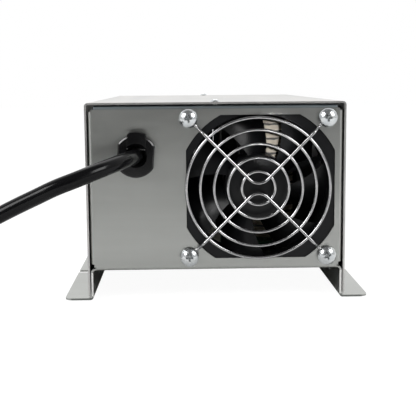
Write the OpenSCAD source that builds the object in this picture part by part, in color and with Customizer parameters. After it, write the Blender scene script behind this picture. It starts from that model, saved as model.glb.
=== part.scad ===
// Power converter and battery charger in a folded sheet case.
// The front panel (towards -Y) carries the cooling fan, its wire finger guard and the mains cord.
// The rear panel (towards +Y) carries the vents, the output lugs, the blade fuses and the ground lug.
// Sizes are in millimetres. Z is up from the surface that the two feet stand on.

/* [Case] */
// Width over the sides of the cover
case_w = 134; // [132:1:150]
// Length over the two end panels
case_l = 260; // [250:1:300]
// Height of the cover's top over the surface
case_h = 102.3; // [102:0.1:115]
// Height of the air channel under the chassis floor
channel_h = 15.5; // [13:0.5:18]
// Reach of each foot past its leg
foot_reach = 14; // [12.5:0.5:18]
// How far the case is set forward, so that the origin is mid-way between guard and lugs
case_forward = 10; // [0:0.5:20]

/* [Sheet] */
// Thickness of the folded sheet
sheet = 1; // [0.8:0.1:1.2]
// Inside radius of every bend
bend_in = 0.8; // [0.5:0.1:1]
// Air between the cover and the chassis
cover_gap = 0.6; // [0.4:0.1:0.8]
// Air between the cover's lower edge and the feet
cover_lift = 1; // [0.5:0.1:2]
// Depth of the flanges folded back from the end panels
flange_d = 12; // [10:0.5:16]
// Side of the square notches at the corners of the folds
notch = 2.4; // [1.5:0.1:3]
// Corner radius of the feet
foot_r = 4.5; // [1:0.5:5]

/* [Mounting slots] */
// Width of each open slot in the feet
slot_w = 6.5; // [5:0.5:8]
// Distance of each slot from the nearer end panel
slot_in = 71; // [50:1:90]

/* [Fan] */
// Side of the square fan frame
fan_w = 80; // [78:0.5:80.5]
// Depth of the fan frame
fan_d = 25; // [24:0.5:28]
// Distance of the fan screws from the edges of the frame
fan_edge = 4.25; // [4:0.05:4.5]
// Gap between the fan and the flange beside it
fan_side_gap = 2.8; // [1:0.05:4]
// Gap between the fan and the chassis floor
fan_floor_gap = 1.7; // [1:0.1:2.5]
// Thickness of the frame's two square flanges
fan_flange = 3.6; // [3:0.1:4.5]
// Wall of the frame beside the air duct at its thinnest
duct_wall = 2; // [1.5:0.1:2.5]
// Gap between the blade tips and the duct
tip_gap = 0.8; // [0.5:0.1:1.5]
// Number of blades
blades = 7; // [5:1:9]
// Radius of the rotor's hub
hub_r = 17; // [16.5:0.1:19]
// Radius of the fan shaft
shaft_r = 1.5; // [1:0.1:1.8]
// Running clearance of the shaft in its bearing
shaft_gap = 0.05; // [0.02:0.01:0.08]

/* [Finger guard] */
// Diameter of the guard's wire
wire_d = 1.6; // [1.4:0.1:1.8]
// Number of rings
rings = 5; // [3:1:5]
// Radius of the smallest ring
ring_first = 8.6; // [8:0.1:9]
// Step from ring to ring
ring_step = 7.1; // [6.5:0.1:7.2]
// Height of the two bent wires over the panel
guard_rise = 4.55; // [4.2:0.05:6]

/* [Mains cord] */
// Diameter of the cord
cord_d = 7.8; // [7:0.1:8.2]
// Place of the bushing left of the middle of the case
bushing_x = -41; // [-42:0.5:-40.5]
// Height of the bushing over the surface
bushing_z = 75.2; // [75:0.1:76]
// Diameter of the bushing's flange
bushing_d = 21.8; // [20:0.1:24]
// Width over the two flats of the flange
bushing_flats = 18.6; // [17:0.1:20]
// Turn of the bushing and its hole, clockwise from the front
bushing_turn = 4; // [0:1:6]

/* [Circuit board] */
// Height of the standoffs under the board
standoff_h = 6; // [5:0.5:8]
// Width of the board
board_w = 116; // [114:1:118]
// Thickness of the board
board_t = 1.6; // [1.2:0.1:2]
// Distance of the heat sinks from the board's front edge
sink_start = 94; // [90:1:110]
// Height of the heat sinks
sink_h = 56; // [50:1:62]
// Fins on each heat sink
fins = 8; // [5:1:9]

/* [Rear panel] */
// Number of vent slots
vents = 13; // [9:2:13]
// Width of each vent slot
vent_w = 3.2; // [2:0.1:3.6]
// Height of each vent slot
vent_h = 28; // [20:1:30]
// Radius of the cable bore in each output lug
lug_bore_r = 4.8; // [4:0.1:5]
// Length of each output lug outside the panel
lug_l = 21.4; // [19:0.1:24]
// Radius of the set screws in the output lugs
set_screw_r = 3; // [2.5:0.1:3]
// Number of blade fuses
fuses = 3; // [1:1:3]

/* [Hidden] */
$fn = 48;
tiny = 0.01;

// The folded sheet
sheet_bend = bend_in + sheet;
half_w = case_w / 2;
leg_x = half_w - sheet - cover_gap;
foot_x = leg_x + foot_reach;
floor_z = channel_h + sheet;
panel_top = case_h - sheet - cover_gap;
front_y = -case_l / 2 - case_forward;
rear_y = front_y + case_l;
mid_y = (front_y + rear_y) / 2;
flat_x = leg_x - sheet_bend;
slot_end_x = half_w + slot_w / 2 + 0.5;
cover_foot = sheet + cover_lift;

// Cover screws: two on the middle line of the top, two low on each side
top_screw_in = 7;
side_screw_in = 35;
side_screw_z = floor_z / 2;
cover_screw_r = 1.4;
cover_hole_r = 1.7;
cover_screw_l = 2 * sheet + cover_gap + 0.1;

// The fan, with its own Z out of the front panel from the panel's inner face
fan_x = leg_x - sheet - fan_side_gap - fan_w / 2;
fan_z = floor_z + fan_floor_gap + fan_w / 2;
fan_pitch = fan_w - 2 * fan_edge;
duct_r = fan_w / 2 - duct_wall;
fan_hole_r = 2.15;
fan_screw_r = 2;
opening_r = fan_w / 2 + 3.2;
opening_w = fan_w - 3.2;
opening_h = fan_w - 5.7;
opening_shift = 1.35;
opening_lift = 0.4;
strut_t = 2.6;
hub_front = 1.5;
hub_back = 20;
hub_wall = 1.4;
hub_cap = 1.6;
magnet_wall = 2;
bearing_wall = 1.45;
tube_wall = 1.4;
stator_gap = 0.7;
bearing_r = shaft_r + shaft_gap + bearing_wall;
tube_r = bearing_r + tube_wall;
magnet_r = hub_r - hub_wall;
stator_r = magnet_r - magnet_wall - stator_gap;
tube_front = hub_front + hub_cap + 5.4;
stator_front = 10;
stator_h = 6;
arm_w = 3;

// The guard's wire and its loops round the screws
wire_r = wire_d / 2;
weld = 0.25;
wire_seat = 0.05;
lap = 0.15;
swell = 0.03;
ring_rise = guard_rise - wire_d + weld;
loop_r = fan_screw_r + 0.25 + wire_r;
wire_bend = 2.5;
centre_bend = 6.5;
corner_d = fan_pitch / 2 * sqrt(2);
head_r = 4.9;
head_h = 2.8;

// The bushing that grips the cord
cord_r = cord_d / 2;
flange_t = 4.6;
shank_r = bushing_d / 2 - 2.1;
shank_flats = bushing_flats - 2.8;
shank_l = 11;
wedge_w = 9.6;
wedge_top = 12.5;
wedge_out = 7;
fit_gap = 0.05;

// Route of the cord from inside the case to its coil, and the coil on the surface. The route is
// typed with its Y measured from the front panel.
tie_t = 0.8;
tie_slack = 0.5;
coil_z = tie_t + cord_r;
coil_turn = 42.9;
coil_x = -192;
coil_y = front_y + 9.7;
cord_route = [for (p = [[bushing_x, 12, 75.2], [bushing_x, 6, 75.2], [bushing_x, 0, 75.2],
    [-41.7, -7.5, 75.2], [-44, -15.8, 74.9], [-48, -23.6, 73.9], [-53.4, -30.4, 72.2],
    [-60.3, -35.9, 69.9], [-68.3, -39.5, 67], [-76.9, -41, 63.8], [-86, -41, 59.6],
    [-96, -41, 54.9], [-106, -41, 49.9], [-117, -41, 44.1], [-128, -41, 37.6],
    [-138.5, -41, 30.6], [-149, -41, 23.3], [-159.5, -41, 16.5], [-170, -41, 10.8],
    [-181, -41, 6.7], [-192, -41, 4.7]])
    p + [0, front_y, 0]];
cord_tail = [for (p = [[-234.9, 9.7, 12.5], [-234.9, 21, 12.5], [-234.9, 32, 12.4],
    [-234.9, 43, 12], [-234.9, 54, 11.7], [-234.9, 64.7, 11.7]])
    p + [0, front_y, 0]];
plug_t = 3 * cord_d;
plug_x = coil_x - coil_turn;
plug_y = coil_y + 44;
plug_relief_l = 26;
plug_l = 38;
plug_w = 31;

// The circuit board on its standoffs
board_front = front_y + 34;
board_rear = rear_y - 14;
board_z = floor_z + standoff_h;
top_z = board_z + board_t;
standoff_r = 3;
board_hole_r = 1.7;
hole_places = [for (sx = [-1, 1], y = [board_front + 8, board_front + 82, board_rear - 8])
    [sx * (board_w / 2 - 4), y]];

// Heat sinks along both sides of the board
sink_x = board_w / 2 - 22;
sink_base = 4;
sink_d = 19;
sink_l = board_rear - 22 - board_front - sink_start;
sink_y = board_rear - 22 - sink_l / 2;
fin_t = 1.6;

// Transformer behind the fan
core_w = 52;
core_d = 22;
core_leg = 9;
yoke = 6;
core_room = 4.7;
core_x = 31.5;
core_y = board_front + 34;
core_z = top_z + 2.5;
core_h = case_h - sheet - core_room - core_z;
bands = 13;

// Rear panel furniture
block_x = 27;
block_z = 43;
block_w = 62;
block_h = 30;
block_out = 4;
lug_pitch = 34;
lug_w = 15;
lug_h = 17;
tang_w = 12;
tang_t = 3;
tang_in = 16;
bar_t = 2;
holder_x = -29;
holder_z = 43;
fuse_pitch = 10;
ground_x = -56;
ground_z = 39;
vent_pitch = 7.5;
vent_z = 77;

// Quarter of a bend in the sheet, in the +X +Y quadrant round its own centre
module bend_section() {
    difference() {
        intersection() {
            circle(sheet_bend);
            square(sheet_bend);
        }
        circle(bend_in);
    }
}

// Square with rounded corners, centred, from plain squares and circles
module round_square(w, h, r) {
    square([w - 2 * r, h], center = true);
    square([w, h - 2 * r], center = true);
    for (x = [-1, 1], y = [-1, 1])
        translate([x * (w / 2 - r), y * (h / 2 - r)])
            circle(r);
}

// Moves its children to the fan: X right, Y up, Z out of the front panel from its inner face
module at_fan() {
    translate([fan_x, front_y + sheet, fan_z])
        rotate([90, 0, 0])
            children();
}

// Moves its children to each of the four fan screws, in the fan's own directions
module at_fan_screws() {
    for (x = [-1, 1], y = [-1, 1])
        translate([x * fan_pitch / 2, y * fan_pitch / 2, 0])
            children();
}

// Moves its children to the front panel at x and z, with their Z out of the panel
module at_front(x, z) {
    translate([x, front_y, z])
        rotate([90, 0, 0])
            children();
}

// Moves its children to the cord's hole and turns them with it
module at_bushing() {
    at_front(bushing_x, bushing_z)
        rotate(-bushing_turn)
            children();
}

// Moves its children to the rear panel at x and z, with their Z out of the panel and Y up
module at_rear(x, z) {
    translate([x, rear_y, z])
        rotate([90, 0, 180])
            children();
}

// Screw with a domed head and a crossed recess; Z runs out of the head's seat
module cross_screw(r, h, shank, length) {
    dome = (h * h + r * r) / (2 * h);
    difference() {
        union() {
            intersection() {
                translate([0, 0, h - dome])
                    sphere(dome);
                cylinder(r = r, h = h);
            }
            translate([0, 0, -length])
                cylinder(r = shank, h = length + tiny);
        }
        for (a = [0, 90])
            rotate(a)
                translate([-r * 0.5, -r * 0.1, h * 0.4])
                    cube([r, r * 0.2, h]);
    }
}

// Section of the chassis across its length: floor, leg and foot of the right half
module tray_section() {
    translate([0, channel_h])
        square([flat_x, sheet]);
    translate([flat_x, floor_z - sheet_bend])
        bend_section();
    translate([leg_x - sheet, sheet_bend])
        square([sheet, floor_z - 2 * sheet_bend]);
    translate([leg_x + bend_in, sheet_bend])
        rotate(180)
            bend_section();
    translate([leg_x + bend_in, 0])
        square([foot_reach - bend_in, sheet]);
}

// End panel folded up from the floor, with flanges folded back; its face lies at Y 0
module end_fold() {
    side_z = floor_z + notch;
    side_h = panel_top - notch - sheet / 2 - side_z;
    low_x = flat_x - sheet;
    high_x = flat_x - 1.2;
    translate([-flat_x, 0, channel_h + sheet_bend])
        cube([2 * flat_x, sheet, panel_top - channel_h - 2 * sheet_bend]);
    translate([-low_x, sheet_bend, channel_h + sheet_bend])
        rotate([90, 0, 90])
            linear_extrude(2 * low_x)
                rotate(180)
                    bend_section();
    translate([-high_x, sheet_bend, panel_top - sheet_bend])
        rotate([90, 0, 90])
            linear_extrude(2 * high_x)
                rotate(90)
                    bend_section();
    translate([-high_x, sheet_bend, panel_top - sheet])
        cube([2 * high_x, flange_d - sheet_bend, sheet]);
    for (s = [0, 1])
        mirror([s, 0, 0]) {
            translate([flat_x, sheet_bend, side_z])
                linear_extrude(side_h)
                    rotate(-90)
                        bend_section();
            translate([leg_x - sheet, sheet_bend, side_z])
                cube([sheet, flange_d - sheet_bend, side_h]);
        }
}

// Everything cut from the front panel
module front_cuts() {
    at_fan() {
        intersection() {
            translate([1.2, -0.5, -1])
                cylinder(r = opening_r, h = sheet + 2);
            translate([opening_shift - opening_w / 2, opening_lift - opening_h / 2, -1])
                cube([opening_w, opening_h, sheet + 2]);
        }
        at_fan_screws()
            translate([0, 0, -1])
                cylinder(r = fan_hole_r, h = sheet + 2);
    }
    at_bushing()
        translate([0, 0, -sheet - 1]) {
            intersection() {
                cylinder(r = shank_r + fit_gap, h = sheet + 2);
                translate([-shank_flats / 2 - fit_gap, -shank_r - 1, 0])
                    cube([shank_flats + 2 * fit_gap, 2 * shank_r + 2, sheet + 2]);
            }
            translate([-wedge_w / 2 - fit_gap, 0, 0])
                cube([wedge_w + 2 * fit_gap, shank_r + 1, sheet + 2]);
        }
}

// Everything cut from the rear panel
module rear_cuts() {
    for (k = [-(vents - 1) / 2 : (vents - 1) / 2])
        translate([k * vent_pitch, rear_y + 1, vent_z])
            rotate([90, 0, 0])
                linear_extrude(sheet + 2) {
                    square([vent_w, vent_h - vent_w], center = true);
                    for (s = [-1, 1])
                        translate([0, s * (vent_h - vent_w) / 2])
                            circle(vent_w / 2);
                }
    translate([block_x - window_w / 2, rear_y - sheet - 1, block_z - window_h / 2])
        cube([window_w, sheet + 2, window_h]);
    translate([holder_x - holder_w / 2, rear_y - sheet - 1, holder_z - holder_h / 2])
        cube([holder_w, sheet + 2, holder_h]);
    at_rear(ground_x, ground_z)
        translate([0, 0, -sheet - 1])
            cylinder(r = 2, h = sheet + 2);
}
window_w = block_w - 8;
window_h = block_h - 10;
holder_w = fuses * fuse_pitch + 2;
holder_h = 22;

// Holes for the cover screws; r is the pilot in the chassis or the clearance in the cover
module cover_screw_holes(r, reach) {
    for (y = [front_y + top_screw_in, rear_y - top_screw_in])
        translate([0, y, case_h - reach])
            cylinder(r = r, h = reach + 1);
    for (s = [-1, 1], y = [front_y + side_screw_in, rear_y - side_screw_in])
        translate([s * (half_w - reach), y, side_screw_z])
            rotate([0, s * 90, 0])
                cylinder(r = r, h = reach + 1);
}

// Open slots in the feet, each with a round inner end
module foot_slots() {
    for (s = [-1, 1], y = [front_y + slot_in, rear_y - slot_in])
        translate([s * slot_end_x, y, -1]) {
            cylinder(r = slot_w / 2, h = sheet + 2);
            translate([s > 0 ? 0 : -foot_reach, -slot_w / 2, 0])
                cube([foot_reach, slot_w, sheet + 2]);
        }
}

// Takes the sharp corners off the feet
module foot_corners() {
    for (sx = [-1, 1], end = [[front_y, 1], [rear_y, -1]])
        translate([sx * (foot_x - foot_r), end[0] + end[1] * foot_r, -1])
            difference() {
                translate([sx > 0 ? 0 : -foot_r - 1, end[1] > 0 ? -foot_r - 1 : 0, 0])
                    cube([foot_r + 1, foot_r + 1, sheet + 2]);
                translate([0, 0, -1])
                    cylinder(r = foot_r, h = sheet + 4);
            }
}

// Chassis: one sheet folded into floor, legs, feet and both end panels
module chassis() {
    color("darkgray")
        difference() {
            union() {
                difference() {
                    for (s = [0, 1])
                        mirror([s, 0, 0])
                            translate([0, rear_y, 0])
                                rotate([90, 0, 0])
                                    linear_extrude(case_l)
                                        tray_section();
                    for (y = [front_y - 1, rear_y - sheet_bend])
                        translate([-flat_x, y, channel_h - 1])
                            cube([2 * flat_x, sheet_bend + 1, sheet + 2]);
                }
                translate([0, front_y, 0])
                    end_fold();
                translate([0, rear_y, 0])
                    mirror([0, 1, 0])
                        end_fold();
            }
            front_cuts();
            rear_cuts();
            cover_screw_holes(cover_screw_r, 3 + cover_gap + sheet);
            foot_slots();
            foot_corners();
            for (p = hole_places)
                translate([p[0], p[1], channel_h - 1])
                    cylinder(r = standoff_r - 1, h = sheet + 2);
        }
}

// Cover: one sheet folded into an upside-down U that reaches down to the feet
module cover() {
    color("silver")
        difference() {
            for (s = [0, 1])
                mirror([s, 0, 0])
                    translate([0, rear_y, 0])
                        rotate([90, 0, 0])
                            linear_extrude(case_l) {
                                translate([0, case_h - sheet])
                                    square([half_w - sheet_bend, sheet]);
                                translate([half_w - sheet_bend, case_h - sheet_bend])
                                    bend_section();
                                translate([half_w - sheet, cover_foot])
                                    square([sheet, case_h - sheet_bend - cover_foot]);
                            }
            cover_screw_holes(cover_hole_r, sheet + cover_gap / 2);
        }
}

// Small screws that hold the cover to the chassis
module cover_screws() {
    color("gainsboro") {
        for (y = [front_y + top_screw_in, rear_y - top_screw_in])
            translate([0, y, case_h])
                cross_screw(2.7, 1.5, cover_screw_r, cover_screw_l);
        for (s = [-1, 1], y = [front_y + side_screw_in, rear_y - side_screw_in])
            translate([s * half_w, y, side_screw_z])
                rotate([0, s * 90, 0])
                    cross_screw(2.7, 1.5, cover_screw_r, cover_screw_l);
    }
}

// Fan frame: two square flanges on a round duct, with a motor seat on four struts at the back
module fan_frame() {
    seat_r = hub_r + 0.5;
    color("dimgray")
        at_fan()
            difference() {
                union() {
                    difference() {
                        union() {
                            for (z = [-fan_flange, -fan_d])
                                translate([0, 0, z])
                                    linear_extrude(fan_flange)
                                        round_square(fan_w, fan_w, 3);
                            translate([0, 0, -fan_d + 1])
                                cylinder(r = duct_r + 1.6, h = fan_d - 2);
                        }
                        translate([0, 0, -fan_d - 1])
                            cylinder(r = duct_r, h = fan_d + 2);
                    }
                    translate([0, 0, -fan_d])
                        cylinder(r = seat_r, h = strut_t);
                    for (a = [0 : 90 : 270])
                        rotate(a + 20)
                            translate([seat_r - 1, -1.7, -fan_d])
                                cube([duct_r - seat_r + 2, 3.4, strut_t]);
                    translate([0, 0, -fan_d + strut_t - tiny])
                        cylinder(r = tube_r, h = fan_d - strut_t - tube_front + tiny);
                }
                translate([0, 0, -fan_d + strut_t])
                    cylinder(r = bearing_r, h = fan_d);
                at_fan_screws()
                    translate([0, 0, -fan_d - 1])
                        cylinder(r = fan_hole_r, h = fan_d + 2);
            }
}

// Angle and height of a blade at share f of its span and share s of its chord
blade_chord = 0.71 * 360 / blades;
blade_skew = 16;
blade_root = hub_r - 0.7;
blade_tip = duct_r - tip_gap;
blade_rows = 6;
blade_cols = 7;
function blade_point(f, s, side) =
    let (r = blade_root + f * (blade_tip - blade_root),
        a = 90 - (19 + blade_skew * (1 - f) + s * blade_chord),
        axial = hub_back - hub_front - 3.2 - 3 * f,
        mid = -(hub_back + hub_front) / 2 + 0.3,
        z = mid + axial * (0.5 - s) + 1.6 * sin(180 * s) + side * (0.35 + 0.5 * sin(180 * s)))
    [r * cos(a), r * sin(a), z];

// One blade: a back and a front grid of points, closed round its edges
module blade() {
    cols = blade_cols + 1;
    sheet_n = (blade_rows + 1) * cols;
    points = [for (side = [-1, 1], i = [0 : blade_rows], j = [0 : blade_cols])
        blade_point(i / blade_rows, j / blade_cols, side)];
    backs = [for (i = [0 : blade_rows - 1], j = [0 : blade_cols - 1])
        let (p = i * cols + j)
        each [[p, p + 1, p + cols + 1], [p, p + cols + 1, p + cols]]];
    fronts = [for (f = backs) [f[0] + sheet_n, f[2] + sheet_n, f[1] + sheet_n]];
    roots = [for (j = [0 : blade_cols - 1])
        each [[j, j + sheet_n, j + 1], [j + 1, j + sheet_n, j + 1 + sheet_n]]];
    tips = [for (j = [0 : blade_cols - 1])
        let (p = blade_rows * cols + j)
        each [[p, p + 1, p + sheet_n], [p + 1, p + 1 + sheet_n, p + sheet_n]]];
    leads = [for (i = [0 : blade_rows - 1])
        let (p = i * cols)
        each [[p, p + cols, p + sheet_n], [p + cols, p + cols + sheet_n, p + sheet_n]]];
    trails = [for (i = [0 : blade_rows - 1])
        let (p = i * cols + blade_cols)
        each [[p, p + sheet_n, p + cols], [p + cols, p + sheet_n, p + cols + sheet_n]]];
    polyhedron(points, concat(backs, fronts, roots, tips, leads, trails));
}

// Fan rotor: a cup-shaped hub with swept blades and a boss that holds the shaft
module fan_rotor() {
    color("black")
        at_fan()
            difference() {
                union() {
                    difference() {
                        union() {
                            translate([0, 0, -hub_back])
                                cylinder(r = hub_r, h = hub_back - hub_front);
                            for (k = [0 : blades - 1])
                                rotate(k * 360 / blades)
                                    blade();
                        }
                        translate([0, 0, -hub_back - 1])
                            cylinder(r = magnet_r, h = hub_back - hub_front - hub_cap + 1);
                    }
                    translate([0, 0, -hub_front - hub_cap - 4])
                        cylinder(r = shaft_r + 2, h = 4 + tiny);
                }
                translate([0, 0, -hub_front - hub_cap - 5])
                    cylinder(r = shaft_r, h = 5.6);
            }
}

// Ring magnet inside the hub
module fan_magnet() {
    color("darkslategray")
        at_fan()
            translate([0, 0, -hub_back + 0.5])
                difference() {
                    cylinder(r = magnet_r, h = 14);
                    translate([0, 0, -1])
                        cylinder(r = magnet_r - magnet_wall, h = 16);
                }
}

// Shaft pressed into the rotor's boss
module fan_shaft() {
    color("lightgray")
        at_fan()
            translate([0, 0, -fan_d + strut_t + 0.3])
                cylinder(r = shaft_r, h = fan_d - strut_t - 0.3 - hub_front - hub_cap + 0.6);
}

// Sleeve bearing in the frame's tube
module fan_bearing() {
    color("goldenrod")
        at_fan()
            translate([0, 0, -fan_d + strut_t + 1])
                difference() {
                    cylinder(r = bearing_r, h = fan_d - strut_t - 1 - tube_front);
                    translate([0, 0, -1])
                        cylinder(r = shaft_r + shaft_gap, h = fan_d);
                }
}

// Four-armed steel core of the fan motor
module fan_stator() {
    color("slategray")
        at_fan()
            translate([0, 0, -stator_front - stator_h])
                linear_extrude(stator_h)
                    difference() {
                        union() {
                            circle(tube_r + 2.4);
                            for (a = [0, 90])
                                rotate(a)
                                    square([2 * stator_r - 2, arm_w], center = true);
                            intersection() {
                                difference() {
                                    circle(stator_r);
                                    circle(stator_r - 1.6);
                                }
                                for (a = [0, 90])
                                    rotate(a)
                                        square([3 * stator_r, 12], center = true);
                            }
                        }
                        circle(tube_r);
                    }
}

// Coils on the four arms of the motor core
module fan_coils() {
    coil_in = tube_r + 2.8;
    color("peru")
        at_fan()
            for (a = [0 : 90 : 270])
                rotate(a)
                    translate([coil_in, 0, -stator_front - stator_h / 2])
                        difference() {
                            translate([0, -3.2, -stator_h / 2 - 1.6])
                                cube([stator_r - 2.5 - coil_in, 6.4, stator_h + 3.2]);
                            translate([-1, -arm_w / 2, -stator_h / 2])
                                cube([10, arm_w, stator_h]);
                        }
}

// Ring-shaped driver board of the fan motor, on the frame's seat
module fan_board() {
    color("darkgreen")
        at_fan()
            translate([0, 0, -fan_d + strut_t])
                difference() {
                    cylinder(r = stator_r, h = 1);
                    translate([0, 0, -1])
                        cylinder(r = tube_r, h = 3);
                }
}

// Straight piece of guard wire along X from a to b, at height z
module wire_run(a, b, z) {
    translate([a, 0, z])
        rotate([0, 90, 0])
            cylinder(r = wire_r, h = b - a);
}

// Piece of a guard wire bent through an angle, in X and Z round the place given
module wire_turn(x, z, from, angle) {
    translate([x, 0, z])
        rotate([90, 0, 0])
            rotate(from)
                rotate_extrude(angle = angle)
                    translate([wire_bend, 0])
                        circle(wire_r + swell);
}

// One leg of a bent wire: straight over the rings, a jog down to the panel, then the screw loop
module wire_leg() {
    high = guard_rise;
    low = wire_r + wire_seat;
    slope = 45;
    drop = high - low - 2 * wire_bend * (1 - cos(slope));
    slant = drop / sin(slope);
    jog_x = corner_d - loop_r - 1.4;
    bend_run = wire_bend * sin(slope);
    top_x = jog_x - 2 * bend_run - drop;
    wire_run(centre_bend - 2 * lap, top_x + lap, high);
    wire_turn(top_x, high - wire_bend, 90 - slope, slope);
    translate([top_x + bend_run, 0, high - wire_bend * (1 - cos(slope))])
        rotate([0, 90 + slope, 0])
            translate([0, 0, -lap])
                cylinder(r = wire_r, h = slant + 2 * lap);
    wire_turn(jog_x, low + wire_bend, 180 + slope, slope);
    wire_run(jog_x - lap, corner_d - loop_r, low);
    translate([corner_d, 0, low])
        rotate_extrude()
            translate([loop_r, 0])
                circle(wire_r + swell);
}

// Finger guard: rings welded under two bent wires, whose loops the fan screws hold
module finger_guard() {
    color("whitesmoke")
        at_fan()
            translate([0, 0, sheet])
                rotate(45) {
                    for (k = [0 : rings - 1])
                        translate([0, 0, ring_rise])
                            rotate_extrude()
                                translate([ring_first + k * ring_step, 0])
                                    circle(wire_r);
                    for (a = [0 : 90 : 270])
                        rotate(a)
                            wire_leg();
                    for (s = [-1, 1])
                        translate([s * centre_bend, s * centre_bend, guard_rise])
                            rotate(s > 0 ? 180 : 0)
                                rotate_extrude(angle = 90)
                                    translate([centre_bend, 0])
                                        circle(wire_r + swell);
                }
}

// Screws through the guard's loops, the panel and the fan's front flange
module fan_screws() {
    color("gainsboro")
        at_fan()
            at_fan_screws()
                translate([0, 0, sheet + wire_d + 2 * wire_seat])
                    cross_screw(head_r, head_h, fan_screw_r, sheet + wire_d + fan_flange + 4);
}

// Hex nuts on the fan screws, behind the fan's front flange
module fan_nuts() {
    color("gainsboro")
        at_fan()
            at_fan_screws()
                translate([0, 0, -fan_flange - 3.2])
                    difference() {
                        cylinder(r = 4.04, h = 3.2, $fn = 6);
                        translate([0, 0, -1])
                            cylinder(r = fan_screw_r, h = 6);
                    }
}

// Body of the cord bushing: a flange with two flats, a shank through the panel and a bore
module bushing_body() {
    color("black")
        at_bushing()
            difference() {
                union() {
                    intersection() {
                        union() {
                            cylinder(r = bushing_d / 2, h = flange_t - 0.8);
                            translate([0, 0, flange_t - 0.8])
                                cylinder(r1 = bushing_d / 2, r2 = bushing_d / 2 - 0.8, h = 0.8);
                        }
                        translate([-bushing_flats / 2, -bushing_d, 0])
                            cube([bushing_flats, 2 * bushing_d, flange_t]);
                    }
                    intersection() {
                        translate([0, 0, -shank_l])
                            cylinder(r = shank_r, h = shank_l + tiny);
                        translate([-shank_flats / 2, -bushing_d, -shank_l])
                            cube([shank_flats, 2 * bushing_d, shank_l + tiny]);
                    }
                }
                translate([0, 0, -shank_l - 1])
                    cylinder(r = cord_r, h = shank_l + flange_t + 2);
                translate([0, 0, flange_t - 3])
                    cylinder(r1 = cord_r, r2 = cord_r + 2.2, h = 3 + tiny);
                translate([-wedge_w / 2 - fit_gap, cord_r - 0.6, -shank_l - 1])
                    cube([wedge_w + 2 * fit_gap, bushing_d, shank_l + flange_t + 2]);
            }
}

// Wedge driven into the bushing over the cord, with a head that stands over the flange
module bushing_wedge() {
    base = cord_r + 0.1;
    color("black")
        at_bushing()
            difference() {
                union() {
                    translate([-wedge_w / 2, base, -shank_l])
                        cube([wedge_w, shank_r - base, shank_l + tiny]);
                    intersection() {
                        union() {
                            translate([-wedge_w / 2, base, 0])
                                cube([wedge_w, wedge_top - 2 - base, wedge_out]);
                            translate([-wedge_w / 2, wedge_top - 2 - tiny, 0])
                                cube([wedge_w, 2 + tiny, wedge_out - 2]);
                            translate([-wedge_w / 2, wedge_top - 2, wedge_out - 2])
                                rotate([0, 90, 0])
                                    rotate(90)
                                        cylinder(r = 2, h = wedge_w);
                        }
                        cylinder(r = wedge_top, h = wedge_out);
                    }
                }
                translate([0, 0, wedge_out - 3])
                    cylinder(r1 = cord_r, r2 = cord_r + 2.2, h = 3 + tiny);
            }
}

// Tube swept along a list of points, with a given radius and number of sides
function unit(v) = v / norm(v);
function route_heading(p, i) = unit(p[min(i + 1, len(p) - 1)] - p[max(i - 1, 0)]);
function tube_ring(p, i, r, sides) =
    let (t = route_heading(p, i),
        ref = abs(t[2]) > 0.9 ? [1, 0, 0] : [0, 0, 1],
        side = unit(cross(t, ref)),
        up = cross(side, t))
    [for (k = [0 : sides - 1]) p[i] + r * (cos(k * 360 / sides) * side + sin(k * 360 / sides) * up)];
module tube(p, r, sides) {
    n = len(p);
    points = [for (i = [0 : n - 1]) each tube_ring(p, i, r, sides)];
    walls = [for (i = [0 : n - 2], k = [0 : sides - 1])
        let (a = i * sides + k, b = i * sides + (k + 1) % sides)
        each [[a, b, b + sides], [a, b + sides, a + sides]]];
    start = [for (k = [sides - 1 : -1 : 0]) k];
    end = [for (k = [0 : sides - 1]) (n - 1) * sides + k];
    polyhedron(points, concat(walls, [start, end]));
}

// Mains cord from inside the case to the coil, and from the coil to its plug
module power_cord() {
    color("black") {
        tube(cord_route, cord_r, 12);
        tube(cord_tail, cord_r, 12);
    }
}

// Rest of the cord: three turns on the surface and two on top of them, as one ring
module cord_coil() {
    color("black")
        translate([coil_x, coil_y, coil_z])
            rotate_extrude()
                for (layer = [[0, 1], [1, 0]]) {
                    for (k = [-1 : layer[1]])
                        translate([coil_turn + k * cord_d, layer[0] * cord_d])
                            circle(cord_r);
                    translate([coil_turn - cord_d, layer[0] * cord_d - cord_r])
                        square([(1 + layer[1]) * cord_d, cord_d]);
                }
}

// Strap that ties the coil, round all its turns at the side away from the case
module coil_tie() {
    w = 3 * cord_d + tie_slack;
    h = 2 * cord_d;
    color("dimgray")
        translate([coil_x, coil_y, tie_t + h / 2])
            rotate(45)
                translate([tie_slack / 2 - coil_turn, 0, 0])
                    rotate([90, 0, 0])
                        translate([0, 0, -5])
                            difference() {
                                linear_extrude(10)
                                    round_square(w + 2 * tie_t, h + 2 * tie_t, 2);
                                translate([0, 0, -1])
                                    linear_extrude(12)
                                        square([w, h], center = true);
                            }
}

// Moves its children to the plug's face, with Y towards the blades and X across its width
module at_plug() {
    translate([plug_x, plug_y + plug_relief_l + plug_l, plug_t / 2])
        children();
}

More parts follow.
